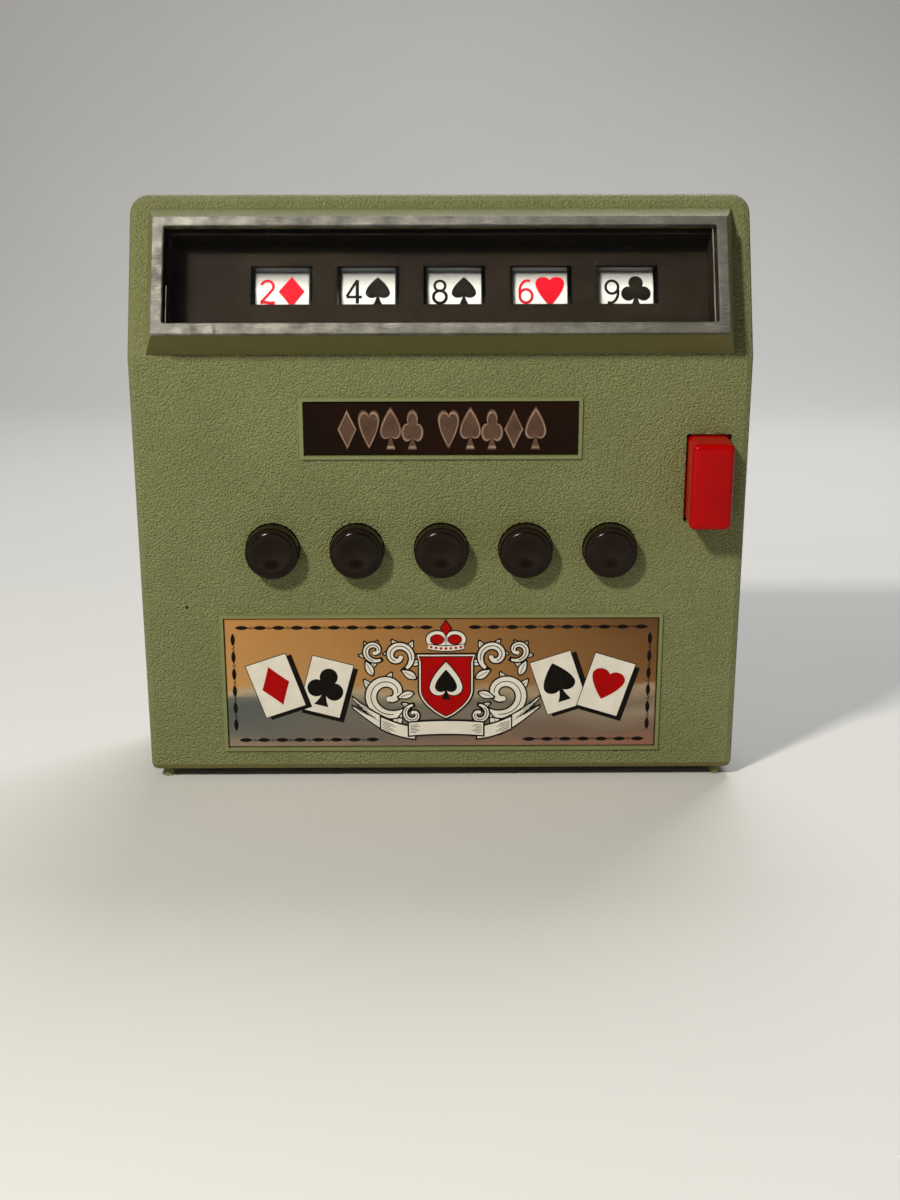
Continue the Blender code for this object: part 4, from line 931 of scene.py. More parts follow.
@dataclass(frozen=True)
class GlassFinish:
    """Clear acrylic: plain transmission that lets light through to what is behind it."""

    name: str
    roughness: float = 0.03
    index: float = 1.18

    def material(self) -> bpy.types.Material:
        """Makes the glass, which shadow rays pass as if it were not there, with faint dust on it.

        Returns:
            The material, made the first time that it is asked for.
        """
        found = bpy.data.materials.get(self.name)
        if found:
            return found
        material = bpy.data.materials.new(self.name)
        material.use_nodes = True
        net = Net(material.node_tree)
        shader = material.node_tree.nodes["Principled BSDF"]
        shader.inputs["Transmission Weight"].default_value = 1.0
        shader.inputs["IOR"].default_value = self.index
        shader.inputs["Base Color"].default_value = (0.97, 0.98, 0.97, 1.0)
        place = net.add("TexCoord").outputs["Object"]
        inputs = {"Vector": place, "Scale": 420.0, "Amount": 0.6}
        specks = net.effect(Effect.DUST, inputs).outputs["Mask"]
        rough = net.spread(specks, 0.0, 1.0, self.roughness, 0.4)
        material.node_tree.links.new(rough, shader.inputs["Roughness"])
        clear = net.add("BsdfTransparent")
        shadow = net.add("LightPath").outputs["Is Shadow Ray"]
        both = net.add("MixShader", {0: shadow, 1: shader.outputs[0], 2: clear.outputs[0]})
        out = material.node_tree.nodes["Material Output"]
        material.node_tree.links.new(both.outputs[0], out.inputs["Surface"])
        return material


@dataclass(frozen=True)
class Finishes:
    """Every finish of the machine, by the record's slot or by what it is printed with."""

    green: CaseFinish = CaseFinish(
        "olive_case_plastic", (0.18, 0.192, 0.075), (0.16, 0.17, 0.063), 0.5, 0.06,
        relief=Effect.GRAIN, relief_scale=1900.0, relief_depth=0.00055, dust=0.3, dust_scale=420.0,
        dust_colour=(0.26, 0.27, 0.15), shine=0.35,
    )
    bezel: SideShadedFinish = SideShadedFinish(
        "brushed_aluminium", (0.42, 0.41, 0.37), (0.14, 0.136, 0.121), 0.46, 0.1, metallic=1.0,
        relief=Effect.STREAKS, relief_scale=6000.0, relief_depth=0.0002, drift_scale=240.0,
        scratches=0.35, scratch_scale=260.0, dust=0.5, dust_scale=700.0, dust_colour=(0.2, 0.19, 0.17),
    )
    mask: Finish = Finish(
        "mask_brown", (0.012, 0.0085, 0.0055), (0.009, 0.0065, 0.0042), 0.6, 0.08, shine=0.04,
        relief=Effect.GRAIN, relief_scale=2500.0, relief_depth=0.00001, dust=0.1, dust_scale=330.0,
        dust_colour=(0.3, 0.24, 0.18),
    )
    nameplate: Finish = Finish(
        "nameplate_brown", (0.008, 0.003, 0.0012), (0.013, 0.0045, 0.0018), 0.4, 0.1, shine=0.06,
        relief=Effect.GRAIN, relief_scale=3000.0, relief_depth=0.00006, dust=0.7, dust_scale=1700.0,
        dust_colour=(0.1, 0.05, 0.028),
    )
    bronze: Finish = Finish(
        "bronze_relief", (0.12, 0.062, 0.038), (0.075, 0.038, 0.023), 0.34, 0.1, metallic=0.5,
        drift_scale=160.0, relief=Effect.GRAIN, relief_scale=3000.0, relief_depth=0.00003, dust=0.4,
        dust_scale=900.0,
        dust_colour=(0.36, 0.24, 0.16),
    )
    # Painted highlight: a lighter bronze for the light that the pips' bevelled edges catch.
    bronze_highlight: Finish = Finish(
        "bronze_edge_highlight", (0.4, 0.27, 0.19), (0.22, 0.13, 0.085), 0.3, 0.1, metallic=0.6,
        drift_scale=300.0, relief=Effect.GRAIN, relief_scale=3000.0, relief_depth=0.00003,
    )
    red: Finish = Finish(
        "glossy_red_plastic", (0.4, 0.0006, 0.0005), (0.32, 0.0004, 0.0004), 0.22, 0.05,
        relief=Effect.GRAIN, relief_scale=500.0, relief_depth=0.00001, dust=0.12,
        dust_colour=(0.4, 0.12, 0.1), shine=0.1,
    )
    button: Finish = Finish(
        "dark_brown_plastic", (0.0065, 0.003, 0.0012), (0.01, 0.0045, 0.0018), 0.2, 0.05,
        relief=Effect.GRAIN, relief_scale=700.0, relief_depth=0.00001, dust=0.3, dust_scale=500.0,
        scratches=0.12, scratch_scale=130.0, dust_colour=(0.08, 0.055, 0.035), shine=0.16,
    )
    drum: Finish = Finish(
        "reel_plastic", (0.72, 0.7, 0.64), (0.64, 0.62, 0.55), 0.45,
        relief=Effect.GRAIN, relief_scale=1500.0, relief_depth=0.00002,
    )
    paper: StripFinish = StripFinish(
        "card_paper", (0.76, 0.76, 0.76), (0.69, 0.69, 0.69), 0.5, relief=Effect.GRAIN, shine=0.2,
        relief_scale=4000.0, relief_depth=0.00001, dust=0.3, dust_scale=900.0,
        dust_colour=(0.45, 0.42, 0.36),
    )
    steel: Finish = Finish(
        "bright_steel", (0.56, 0.56, 0.55), (0.45, 0.45, 0.44), 0.3, 0.08, metallic=1.0,
        relief=Effect.STREAKS, relief_scale=2500.0, relief_depth=0.00002, scratches=0.5,
        scratch_scale=200.0,
    )
    zinc: Finish = Finish(
        "zinc_plate", (0.6, 0.6, 0.56), (0.42, 0.43, 0.41), 0.42, 0.1, metallic=1.0, drift_scale=120.0,
        relief=Effect.GRAIN, relief_scale=1800.0, relief_depth=0.00002, scratches=0.6, scratch_scale=90.0,
    )
    nylon: Finish = Finish(
        "white_nylon", (0.74, 0.71, 0.61), (0.68, 0.64, 0.53), 0.42, relief=Effect.GRAIN,
        relief_scale=1500.0, relief_depth=0.00002,
    )
    belt: Finish = Finish(
        "belt_rubber", (0.018, 0.017, 0.016), (0.03, 0.028, 0.026), 0.7, relief=Effect.GRAIN,
        relief_scale=3000.0, relief_depth=0.00004,
    )
    black: Finish = Finish(
        "black_plastic", (0.022, 0.021, 0.02), (0.03, 0.029, 0.027), 0.48, relief=Effect.GRAIN,
        relief_scale=1600.0, relief_depth=0.00004, dust=0.3, dust_scale=500.0,
    )
    cell: Finish = Finish(
        "cell_jacket", (0.07, 0.12, 0.3), (0.05, 0.09, 0.24), 0.3, 0.06, metallic=0.25, coat=0.3,
        relief=Effect.STREAKS, relief_scale=700.0, relief_depth=0.00001, scratches=0.4,
    )
    brass: Finish = Finish(
        "brass", (0.62, 0.43, 0.16), (0.45, 0.3, 0.11), 0.32, 0.1, metallic=1.0, relief=Effect.STREAKS,
        relief_scale=2200.0, relief_depth=0.00002,
    )
    red_wire: Finish = Finish(
        "red_insulation", (0.5, 0.02, 0.015), (0.42, 0.015, 0.012), 0.36, relief=Effect.GRAIN,
        relief_scale=1500.0, relief_depth=0.00001,
    )
    black_wire: Finish = Finish(
        "black_insulation", (0.02, 0.02, 0.02), (0.03, 0.03, 0.03), 0.36, relief=Effect.GRAIN,
        relief_scale=1500.0, relief_depth=0.00001,
    )
    cream_ink: Finish = Finish(
        "cream_ink", (0.7, 0.66, 0.58), (0.62, 0.58, 0.5), 0.42, drift_scale=250.0, shine=0.2,
        relief=Effect.GRAIN, relief_scale=3500.0, relief_depth=0.00001, dust=0.2, dust_scale=700.0,
    )
    red_ink: Finish = Finish(
        "red_ink", (0.36, 0.002, 0.0015), (0.29, 0.0015, 0.0012), 0.36, drift_scale=250.0, shine=0.06,
        relief=Effect.GRAIN, relief_scale=3500.0, relief_depth=0.00001,
    )
    card_red: Finish = Finish(
        "card_red_ink", (0.5, 0.004, 0.016), (0.4, 0.003, 0.012), 0.45, drift_scale=400.0, shine=0.06,
        relief=Effect.GRAIN, relief_scale=3500.0, relief_depth=0.00001,
    )
    black_ink: Finish = Finish(
        "black_ink", (0.006, 0.005, 0.004), (0.01, 0.008, 0.006), 0.38, drift_scale=250.0, shine=0.04,
        relief=Effect.GRAIN, relief_scale=3500.0, relief_depth=0.00001,
    )
    lens: GlassFinish = GlassFinish("clear_acrylic")
    # Painted highlight: a light grey standing in for the shine of the lens's polished edges.
    lens_edge_highlight: Finish = Finish(
        "acrylic_edge_highlight", (0.34, 0.33, 0.29), (0.2, 0.19, 0.17), 0.3, drift_scale=300.0, relief=Effect.GRAIN,
        relief_scale=2000.0, relief_depth=0.00001,
    )

    def foil(self) -> FoilFinish:
        """Centres the foil on the emblem plate.

        Returns:
            The foil's finish.
        """
        low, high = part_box("emblem_plate")
        middle = (low + high) / 2
        return FoilFinish(
            "gold_foil", (0.6, 0.4, 0.16), (0.6, 0.4, 0.16), 0.24, 0.05, metallic=0.35, shine=0.3,
            drift_scale=60.0, relief=Effect.GRAIN, relief_scale=200.0, relief_depth=0.00002,
            origin=tuple(middle), height=high.z - low.z,
            width=high.x - low.x,
        )

    def by_slot(self) -> dict[str, Finish | GlassFinish]:
        """The finish of each of the record's material slots."""
        return {
            "green_case": self.green, "bezel": self.bezel, "lens": self.lens, "mask": self.mask,
            "nameplate": self.nameplate, "foil": self.foil(), "red_bar": self.red, "button": self.button,
            "reel_drum": self.drum, "card_strip": self.paper, "steel": self.steel, "zinc": self.zinc,
            "nylon": self.nylon, "belt": self.belt, "black_plastic": self.black, "cell": self.cell,
            "brass": self.brass, "red_wire": self.red_wire, "black_wire": self.black_wire,
        }


FINISHES = Finishes()


def dress_frame() -> None:
    """Gives every CAD node the finish of its record slot."""
    finishes = FINISHES.by_slot()
    for row in frame["record"]["subparts"]:
        node = frame["nodes"][row["node"]]
        material = finishes[row["material_slot"]].material()
        node.data.materials.clear()
        node.data.materials.append(material)


# ---------------------------------------------------------------- suits and numbers


class Suit(Enum):
    """The four card suits."""

    DIAMOND = "diamond"
    HEART = "heart"
    SPADE = "spade"
    CLUB = "club"

    @property
    def is_red(self) -> bool:
        """Whether the suit is a red one."""
        return self in (Suit.DIAMOND, Suit.HEART)


def lobe_edges(levels: np.ndarray, centre: Pair, radius: float) -> tuple[np.ndarray, np.ndarray]:
    """The inner and outer x of a circle at each level: its centre less and plus the half chord."""
    chord = np.sqrt(np.maximum(radius**2 - (levels - centre[1]) ** 2, 0.0))
    return centre[0] - chord, centre[0] + chord


def leaf_half(count: int = 26) -> tuple[np.ndarray, np.ndarray, np.ndarray]:
    """Half a heart: a round lobe above, a curved side down to the tip, and a notch in the middle.

    The halves pass the middle by a little, so that they overlap when they are mirrored.

    Args:
        count: How many levels each of its two parts has at most.

    Returns:
        The levels from the tip at -1 to the lobe's top, and the inner and outer x at each.
    """
    radius, centre, overlap = 0.46, (0.43, 0.42), 0.03
    lobe = centre[1] + radius * np.sin(np.linspace(-np.pi / 2 - 0.0001, np.pi / 2, count))
    side_levels = np.linspace(-1.0, centre[1] - radius * 0.3, count)
    levels = np.concatenate([side_levels, lobe[lobe > centre[1] - radius * 0.29]])
    inner, outer = lobe_edges(levels, centre, radius)
    share = np.clip((levels + 1.0) / (centre[1] + 1.0), 0.0, 1.0)
    side = (centre[0] + radius) * np.sin(share * np.pi / 2) ** 0.86 * (0.8 + 0.2 * share)
    outer = np.where(levels < centre[1], np.maximum(side, 0.0), outer)
    inner = np.where(levels < centre[1], 0.0, np.maximum(inner, 0.0)) - overlap
    return levels, inner, np.maximum(outer, inner + 0.001)


def suit_bands(suit: Suit) -> list[tuple[np.ndarray, np.ndarray]]:
    """A suit as bands, each from a left edge to a right one, about 2 high and centred on the origin.

    Args:
        suit: The suit.

    Returns:
        The two edges of each band, as (n, 2) points: the lobes first, then the stalk.
    """
    sides = []
    if suit is Suit.DIAMOND:
        levels = np.linspace(-1.0, 1.0, 17)
        width = 0.8 * (1.0 - np.abs(levels)) ** 1.06
        sides.append((-width, width, levels))
    if suit in (Suit.HEART, Suit.SPADE):
        levels, inner, outer = leaf_half()
        rise = 0.26 - 0.84 * levels if suit is Suit.SPADE else levels + 0.05
        sides += [(side * inner, side * outer, rise) for side in (-1.0, 1.0)]
    if suit is Suit.CLUB:
        swing = np.sin(np.linspace(-np.pi / 2, np.pi / 2, 18))
        lobes = ((0.0, 0.52, 0.45), (-0.46, -0.16, 0.45), (0.46, -0.16, 0.45), (0.0, 0.1, 0.24))
        for x, y, radius in lobes:
            levels = y + radius * swing
            sides.append((*lobe_edges(levels, (x, y), radius), levels))
    if suit in (Suit.SPADE, Suit.CLUB):
        levels = np.linspace(-1.0, -0.05, 9)
        width = 0.07 + 0.3 * ((-0.05 - levels) / 0.95) ** 2.2
        sides.append((-width, width, levels))
    return [(np.column_stack([left, y]), np.column_stack([right, y])) for left, right, y in sides]


def straight_line(start: Pair, end: Pair) -> np.ndarray:
    """Six points in a straight line."""
    return np.linspace(start, end, 6)


def hoop(centre: Pair, radii: Pair, count: int) -> np.ndarray:
    """Points all the way round an oval."""
    return arc(centre, radii, (0.0, 360.0), count)


def number_strokes(rank: int) -> list[tuple[np.ndarray, float]]:
    """A card's number as strokes in a box 0.62 wide and 1 high.

    Args:
        rank: 2 to 10.

    Returns:
        Each stroke's path and its width as a share of the plain stroke.
    """
    foot = np.linspace(0.0, 0.62, 12)
    six = [
        (hoop((0.31, 0.3), (0.27, 0.28), 28), 1.0),
        (np.concatenate([arc((0.4, 0.5), (0.36, 0.47), (195.0, 100.0), 14), [[0.5, 0.95]]]), 1.0),
    ]
    neck = [[0.3, 0.34], [0.03, 0.07]]
    strokes = {
        2: [
            (np.concatenate([arc((0.3, 0.72), (0.26, 0.25), (165.0, -30.0), 18), neck]), 1.0),
            (np.column_stack([foot, 0.045 + 0.018 * np.sin(np.linspace(0.0, 6.3, 12))]), 1.15),
        ],
        3: [
            (arc((0.28, 0.75), (0.24, 0.22), (150.0, -85.0), 16), 1.0),
            (arc((0.28, 0.28), (0.28, 0.25), (85.0, -155.0), 18), 1.0),
        ],
        4: [
            (straight_line((0.46, 1.0), (0.0, 0.28)), 1.0),
            (straight_line((0.0, 0.27), (0.66, 0.27)), 1.0),
            (straight_line((0.46, 1.0), (0.46, 0.0)), 1.25),
        ],
        5: [
            (straight_line((0.55, 0.96), (0.12, 0.96)), 1.3),
            (straight_line((0.12, 0.98), (0.09, 0.56)), 1.0),
            (arc((0.27, 0.31), (0.29, 0.29), (128.0, -155.0), 20), 1.0),
        ],
        6: six,
        7: [
            (straight_line((0.02, 0.95), (0.6, 0.95)), 1.5),
            (straight_line((0.58, 0.95), (0.22, 0.0)), 1.0),
        ],
        8: [
            (hoop((0.31, 0.74), (0.23, 0.22), 26), 1.0),
            (hoop((0.31, 0.27), (0.28, 0.26), 28), 1.1),
        ],
        9: [((0.62, 0.97) - path, width) for path, width in six],
        10: [
            (straight_line((0.06, 0.0), (0.06, 1.0)), 1.2),
            (hoop((0.43, 0.5), (0.19, 0.47), 28), 1.0),
        ],
    }
    return strokes[rank]


# ---------------------------------------------------------------- reels


@dataclass(frozen=True)
class Card:
    """One printed card: its number and its suit."""

    rank: int
    suit: Suit


SHOWN = (
    Card(2, Suit.DIAMOND), Card(4, Suit.SPADE), Card(8, Suit.SPADE), Card(6, Suit.HEART),
    Card(9, Suit.CLUB),
)


class StripPart(IntEnum):
    """The materials of a strip, in their order on the piece."""

    PAPER = 0
    RED = 1
    BLACK = 2


@dataclass
class PrintedStrip:
    """A reel's paper strip: a smooth band with a card printed at each of its stops."""

    number: int
    stops: int = 12
    ink: float = 0.06 * MM
    number_height: float = 6.6 * MM
    number_width: float = 6.3 * MM
    number_x: float = -3.95 * MM
    suit_x: float = 2.55 * MM
    suit_half: float = 3.75 * MM
    suit_width: float = 3.75 * MM
    stroke_width: float = 0.74 * MM
    drop: float = 0.75 * MM
    shade_from: float = 0.3 * MM
    lip: float = 0.12 * MM
    depth: float = 0.45 * MM
    steps: int = 180

    def cards(self) -> list[Card]:
        """Deals the strip's cards: numbers step by 5 and suits take turns.

        Returns:
            A card for each stop, from the one in the window.
        """
        first = SHOWN[self.number - 1]
        suits = list(Suit)
        start = suits.index(first.suit)
        return [
            Card(2 + (first.rank - 2 + 5 * stop) % 9, suits[(start + stop + stop // 4) % 4])
            for stop in range(self.stops)
        ]

    def build(self) -> None:
        """Builds the band and its print round the reel."""
        node = f"card_strip_{self.number}"
        axis = np.array(joint(f"reel_{self.number}_spin")["pos_m"], float)
        low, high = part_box(node)
        axis[0] = (low.x + high.x) / 2
        radius = (high.z - low.z) / 2
        half = (high.x - low.x) / 2
        surface = Surface()
        drum = Drum(axis, radius)
        along = np.linspace(0.0, 2 * np.pi * radius, self.steps, endpoint=False)
        section = [(-half, -self.depth), (-half, -self.lip), (-half + self.lip, 0.0)]
        section += [(-x, z) for x, z in section[::-1]]
        section.append(section[0])
        band = np.array([[(x, y, z) for y in along] for x, z in section])
        surface.grid(drum.world(band), around=True)
        for stop, card in enumerate(self.cards()):
            self.print_card(surface, drum, card, -self.drop + stop * 2 * np.pi * radius / self.stops)
        inks = [FINISHES.paper, FINISHES.card_red, FINISHES.black_ink]
        piece = surface.finished(f"printed_strip_{self.number}", [ink.material() for ink in inks])
        self.shade(piece, drum)
        place_piece(piece, f"reel_{self.number}", [node])

    def shade(self, piece: bpy.types.Object, drum: Drum) -> None:
        """Gives each point the depth of its painted shadow: nought up to a card's middle, then growing evenly to
        its top, for the shadow of the window's top edge.

        Args:
            piece: The strip.
            drum: The frame round the reel.
        """
        points = np.empty(len(piece.data.vertices) * 3, np.float32)
        piece.data.vertices.foreach_get("co", points)
        reach = points.reshape(-1, 3) - drum.axis
        height = np.arctan2(reach @ WINDOW.up, reach @ WINDOW.out) * drum.radius
        pitch = 2 * np.pi * drum.radius / self.stops
        above = (height + self.drop + pitch / 2) % pitch - pitch / 2
        share = np.clip((above - self.shade_from) / (pitch / 2 - self.shade_from), 0.0, 1.0)
        attribute = piece.data.attributes.new("shade", "FLOAT", "POINT")
        attribute.data.foreach_set("value", share.astype(np.float32))

    def print_card(self, surface: Surface, drum: Drum, card: Card, height: float) -> None:
        """Prints a card's number on the left and its suit on the right.

        Args:
            surface: The strip's surface.
            drum: The frame round the reel.
            card: What to print.
            height: How far round the rim the card's middle lies.
        """
        ink = StripPart.RED if card.suit.is_red else StripPart.BLACK
        for layer, (path, width) in enumerate(number_strokes(card.rank)):
            placed = np.column_stack([
                self.number_x + (path[:, 0] - 0.31) * self.number_width,
                height + (path[:, 1] - 0.5) * self.number_height,
            ])
            top = self.ink * (1.0 + 0.15 * layer)
            surface.stroke(drum, placed, width * self.stroke_width, -self.ink, top, ink)
        middle = np.array([self.suit_x, height])
        scale = np.array([self.suit_width, self.suit_half]) * (1.0 if card.suit is Suit.SPADE else 1.18)
        for layer, (left, right) in enumerate(suit_bands(card.suit)):
            top = self.ink * (1.0 + 0.15 * layer)
            surface.band(drum, middle + left * scale, middle + right * scale, -self.ink, top, ink)


# ---------------------------------------------------------------- buttons and start bar


@dataclass
class HoldButton:
    """A dished cap on its flange and stem, with a return spring."""

    number: int
    radius: float = 7.4 * MM
    dish: float = 0.95 * MM
    rim: float = 1.15 * MM
    flange_radius: float = 8.7 * MM
    flange_depth: float = 7.6 * MM
    flange_thickness: float = 1.5 * MM
    stem_radius: float = 2.5 * MM
    stem_bevel: float = 0.8 * MM
    steps: int = 72

    def build(self) -> None:
        """Turns a dished cap with a round rim, a flange and a stem, and adds the spring."""
        node = f"hold_button_{self.number}"
        place = FACE.on(node)
        low, high = FACE.span(node)
        length = high[2] - low[2]
        hollow = np.linspace(0.0, 1.0, 14)
        rim, bowl = self.rim, self.radius - 2 * self.rim
        dished = np.column_stack([bowl * hollow, -self.dish * np.cos(hollow * np.pi / 2) ** 1.5])
        lip = arc((self.radius - 1.75 * rim, -0.9 * rim), (0.95 * rim, 0.9 * rim), (80.0, 40.0), 6)
        edge = arc((self.radius - rim, -rim), (rim, rim), (48.0, 0.0), 7)
        back = -self.flange_depth - self.flange_thickness
        rest = np.array([
            (self.radius, -self.flange_depth), (self.flange_radius, -self.flange_depth),
            (self.flange_radius, back), (self.stem_radius, back),
            (self.stem_radius, self.stem_bevel - length), (self.stem_radius - self.stem_bevel, -length),
            (0.0, -length),
        ])
        surface = Surface().turned(place, np.concatenate([dished, lip, edge, rest]), steps=self.steps)
        piece = surface.finished(f"button_cap_{self.number}", [FINISHES.button.material()], 50.0)
        place_piece(piece, node, [node])
        ReturnSpring(f"button_spring_{self.number}", f"button_{self.number}_press", 3.0 * MM).build()


@dataclass
class ReturnSpring:
    """A coil spring whose ends are closed, fixed to the case."""

    node: str
    joint_name: str
    travel: float
    wire: float = 0.3 * MM
    turns: float = 5.5
    per_turn: int = 20

    def build(self) -> None:
        """Builds the coil on its node's axis: a helix whose pitch falls to the wire at each end."""
        low, high = FACE.span(self.node)
        middle = (low + high) / 2
        radius = (high[0] - low[0]) / 2 - self.wire
        share = np.linspace(0.0, 1.0, int(self.turns * self.per_turn) + 1)
        angle = 2 * np.pi * self.turns * share
        ends = share - 0.55 * np.sin(2 * np.pi * share) / (2 * np.pi)
        height = low[2] + self.wire + (high[2] - low[2] - 2 * self.wire) * ends
        coil = np.column_stack([
            middle[0] + radius * np.cos(angle), middle[1] + radius * np.sin(angle), height,
        ])
        piece = Surface().tube(FACE.world(coil), self.wire).finished(
            f"{self.node}_coil", [FINISHES.steel.material()]
        )
        place_piece(piece, "case", [self.node])
        anchor = FACE.world(np.array([middle[0], middle[1], low[2]]))
        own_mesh(piece)


@dataclass
class StartBar:
    """The red bar: a tall block with rounded edges on a flange and a stem."""

    half_width: float = 5.7 * MM
    half_height: float = 12.0 * MM
    corner: float = 1.7 * MM
    round_over: float = 1.6 * MM
    crown: float = 0.25 * MM
    flange: Pair = (6.95 * MM, 13.25 * MM)
    flange_depth: float = 13.3 * MM
    flange_thickness: float = 1.5 * MM
    stem_radius: float = 3.0 * MM

    def build(self) -> None:
        """Builds the bar, whose front edge is a quarter round all the way about, and its spring.

        Its front rises by the crown toward the middle, as one less the square of the distance left.
        """
        place = FACE.on("start_bar")
        low, high = FACE.span("start_bar")
        rings = [(rounded_box(self.half_width, self.half_height, self.corner), -self.flange_depth)]
        for angle in np.linspace(0.0, np.pi / 2, 9):
            distance = self.round_over * (1.0 - math.cos(angle))
            height = -self.crown - self.round_over * (1.0 - math.sin(angle))
            rings.append((inset_box(self.half_width, self.half_height, self.corner, distance), height))
        for share in np.linspace(0.2, 0.95, 5):
            distance = self.round_over + share * (self.half_width - self.round_over)
            height = -self.crown * (1.0 - share) ** 2
            rings.append((inset_box(self.half_width, self.half_height, self.corner, distance), height))
        surface = Surface().loft(place, rings)
        bottom = -self.flange_depth - self.flange_thickness
        flange = rounded_box(*self.flange, 0.6 * MM, 3)
        surface.loft(place, [(flange, bottom), (flange, -self.flange_depth + 0.01 * MM)])
        stem = arc((0.0, 0.0), (self.stem_radius, self.stem_radius), (0.0, 345.0), 24)
        surface.loft(place, [(stem, low[2] - high[2]), (stem, bottom + 0.01 * MM)])
        piece = surface.finished("start_bar_cap", [FINISHES.red.material()], 40.0)
        place_piece(piece, "start_bar", ["start_bar"])
        ReturnSpring("start_bar_spring", "start_bar_press", 5.5 * MM, wire=0.35 * MM, turns=4.5).build()


# ---------------------------------------------------------------- bezel


@dataclass
class Bezel:
    """The aluminium frame round the window: a bevelled flat border with a nick and small dents."""

    border: float = 3.1 * MM
    top_border: float = 2.6 * MM
    edge: float = 0.35 * MM
    corner: float = 0.6 * MM
    steps: int = 2000
    nick_x: float = -58.9 * MM
    nick_half: float = 0.45 * MM
    nick_depth: float = 0.45 * MM
    dent_depth: float = 0.03 * MM
    dent_reach: float = 1.1 * MM

    def loop(self, low: np.ndarray, high: np.ndarray, radius: float) -> np.ndarray:
        """A rounded rectangle between two corners, its points spread by share of each side.

        Args:
            low: The lower left corner.
            high: The upper right corner.
            radius: The corner radius.

        Returns:
            The closed outline, four equal runs of points from the lower right corner.
        """
        count = self.steps // 4
        x0, y0, x1, y1 = low[0] + radius, low[1] + radius, high[0] - radius, high[1] - radius
        runs = []
        for index, (start, end) in enumerate(
            (((x1, y0), (x1, y1)), ((x1, y1), (x0, y1)), ((x0, y1), (x0, y0)), ((x0, y0), (x1, y0)))
        ):
            reach = radius * np.array([math.cos(index * np.pi / 2), math.sin(index * np.pi / 2)])
            straight = np.linspace(start, end, count - 8) + reach
            turn = (90.0 * index, 90.0 * index + 90.0)
            corner = arc(end, (radius, radius), turn, 10)[1:-1]
            runs.append(np.concatenate([straight, corner]))
        return np.concatenate(runs)

    def build(self) -> None:
        """Carries a flat border with rounded edges round the window, and dents it.

        The nick is a bell curve along the lower border that fades past it, and the dents are the
        size of two sines along X, which fade from the lower edge as a bell curve.
        """
        place = WINDOW.on("bezel_frame")
        low, high = (corner - WINDOW.local(place.origin) for corner in WINDOW.span("bezel_frame"))
        outer_low, outer_high = low[:2], high[:2]
        inner_low = outer_low + self.border
        inner_high = outer_high - np.array([self.border, self.top_border])
        depth = high[2] - low[2]
        profile = [(0.0, -depth), (0.0, -self.edge)]
        for turn in (0.5, 1.0, np.pi / 2):
            profile.append((self.edge * (1 - math.cos(turn)), -self.edge * (1 - math.sin(turn))))
        rings = []
        for inset, height in profile:
            rings.append((self.loop(outer_low + inset, outer_high - inset, self.corner), height))
        begin, end = rings[-1][0], self.loop(inner_low - self.edge, inner_high + self.edge, self.corner)
        rings += [(begin + share * (end - begin), 0.0) for share in (0.12, 0.25, 0.4, 0.7)]
        for inset, height in profile[::-1]:
            rings.append((self.loop(inner_low - inset, inner_high + inset, self.corner), height))
        rings.append(rings[0])
        stack = np.stack([np.column_stack([ring, np.full(len(ring), height)]) for ring, height in rings])
        x, y = stack[..., 0], stack[..., 1]
        lower = np.exp(-(((y - outer_low[1]) / self.dent_reach) ** 2))
        across = np.exp(-(((y - outer_low[1]) / self.border) ** 4))
        nick = np.exp(-(((x - self.nick_x) / self.nick_half) ** 2)) * across
        dents = self.dent_depth * (np.sin(x * 410.0) + np.sin(x * 963.0 + 1.7)) * lower
        stack[..., 2] -= np.where(stack[..., 2] > -depth, self.nick_depth * nick + np.abs(dents), 0.0)
        surface = Surface().grid(place.world(stack), around=True)
        piece = surface.finished("aluminium_bezel", [FINISHES.bezel.material()], 60.0)
        place_piece(piece, "case", ["bezel_frame"])


# ---------------------------------------------------------------- plates


class Bronze(IntEnum):
    """The materials of the nameplate's relief, in their order on the piece."""

    PLAIN = 0
    HIGHLIGHT = 1


@dataclass
class Nameplate:
    """Bronze relief on the dark nameplate: a group of four tall card pips and a group of five."""

    half_height: float = 5.7 * MM
    centre_y: float = -0.2 * MM
    left_end: float = -28.4 * MM
    right_end: float = 28.6 * MM
    gap: float = 3.9 * MM
    pip_width: float = 3.35 * MM
    relief: float = 0.5 * MM

    def build(self) -> None:
        """Builds the pips in equal steps from the plate's left end to its right, with a gap between."""
        place = FACE.on("nameplate")
        surface = Surface()
        suits = list(Suit)
        pitch = (self.right_end - self.left_end - self.gap) / 9
        for index in range(9):
            x = self.left_end + pitch * (index + 0.5) + (self.gap if index > 3 else 0.0)
            self.pip(surface, place, suits[(index + index // 4) % 4], x)
        bronzes = [FINISHES.bronze.material(), FINISHES.bronze_highlight.material()]
        piece = surface.finished("nameplate_relief", bronzes, 40.0)
        place_piece(piece, "case")

    def pip(self, surface: Surface, place: Place, suit: Suit, x: float) -> None:
        """Adds one tall pip, made of a wide low step and narrower, higher ones, the middle one in a lighter bronze
        as a painted highlight on the pip's edge.

        Args:
            surface: The relief's surface.
            place: The frame on the plate.
            suit: The pip's suit.
            x: Its middle along the plate.
        """
        middle = np.array([x, self.centre_y])
        for size, share, finish in (
            # The middle step carries the painted highlight of the pip's edge.
            (1.0, 0.5, Bronze.PLAIN), (0.93, 0.85, Bronze.HIGHLIGHT), (0.8, 1.0, Bronze.PLAIN),
        ):
            scale = np.array([self.pip_width, self.half_height]) * size
            for layer, (left, right) in enumerate(suit_bands(suit)):
                height = self.relief * share - 0.01 * MM * layer
                edges = (left * scale + middle, right * scale + middle)
                surface.band(place, *edges, -0.05 * MM, height, finish)


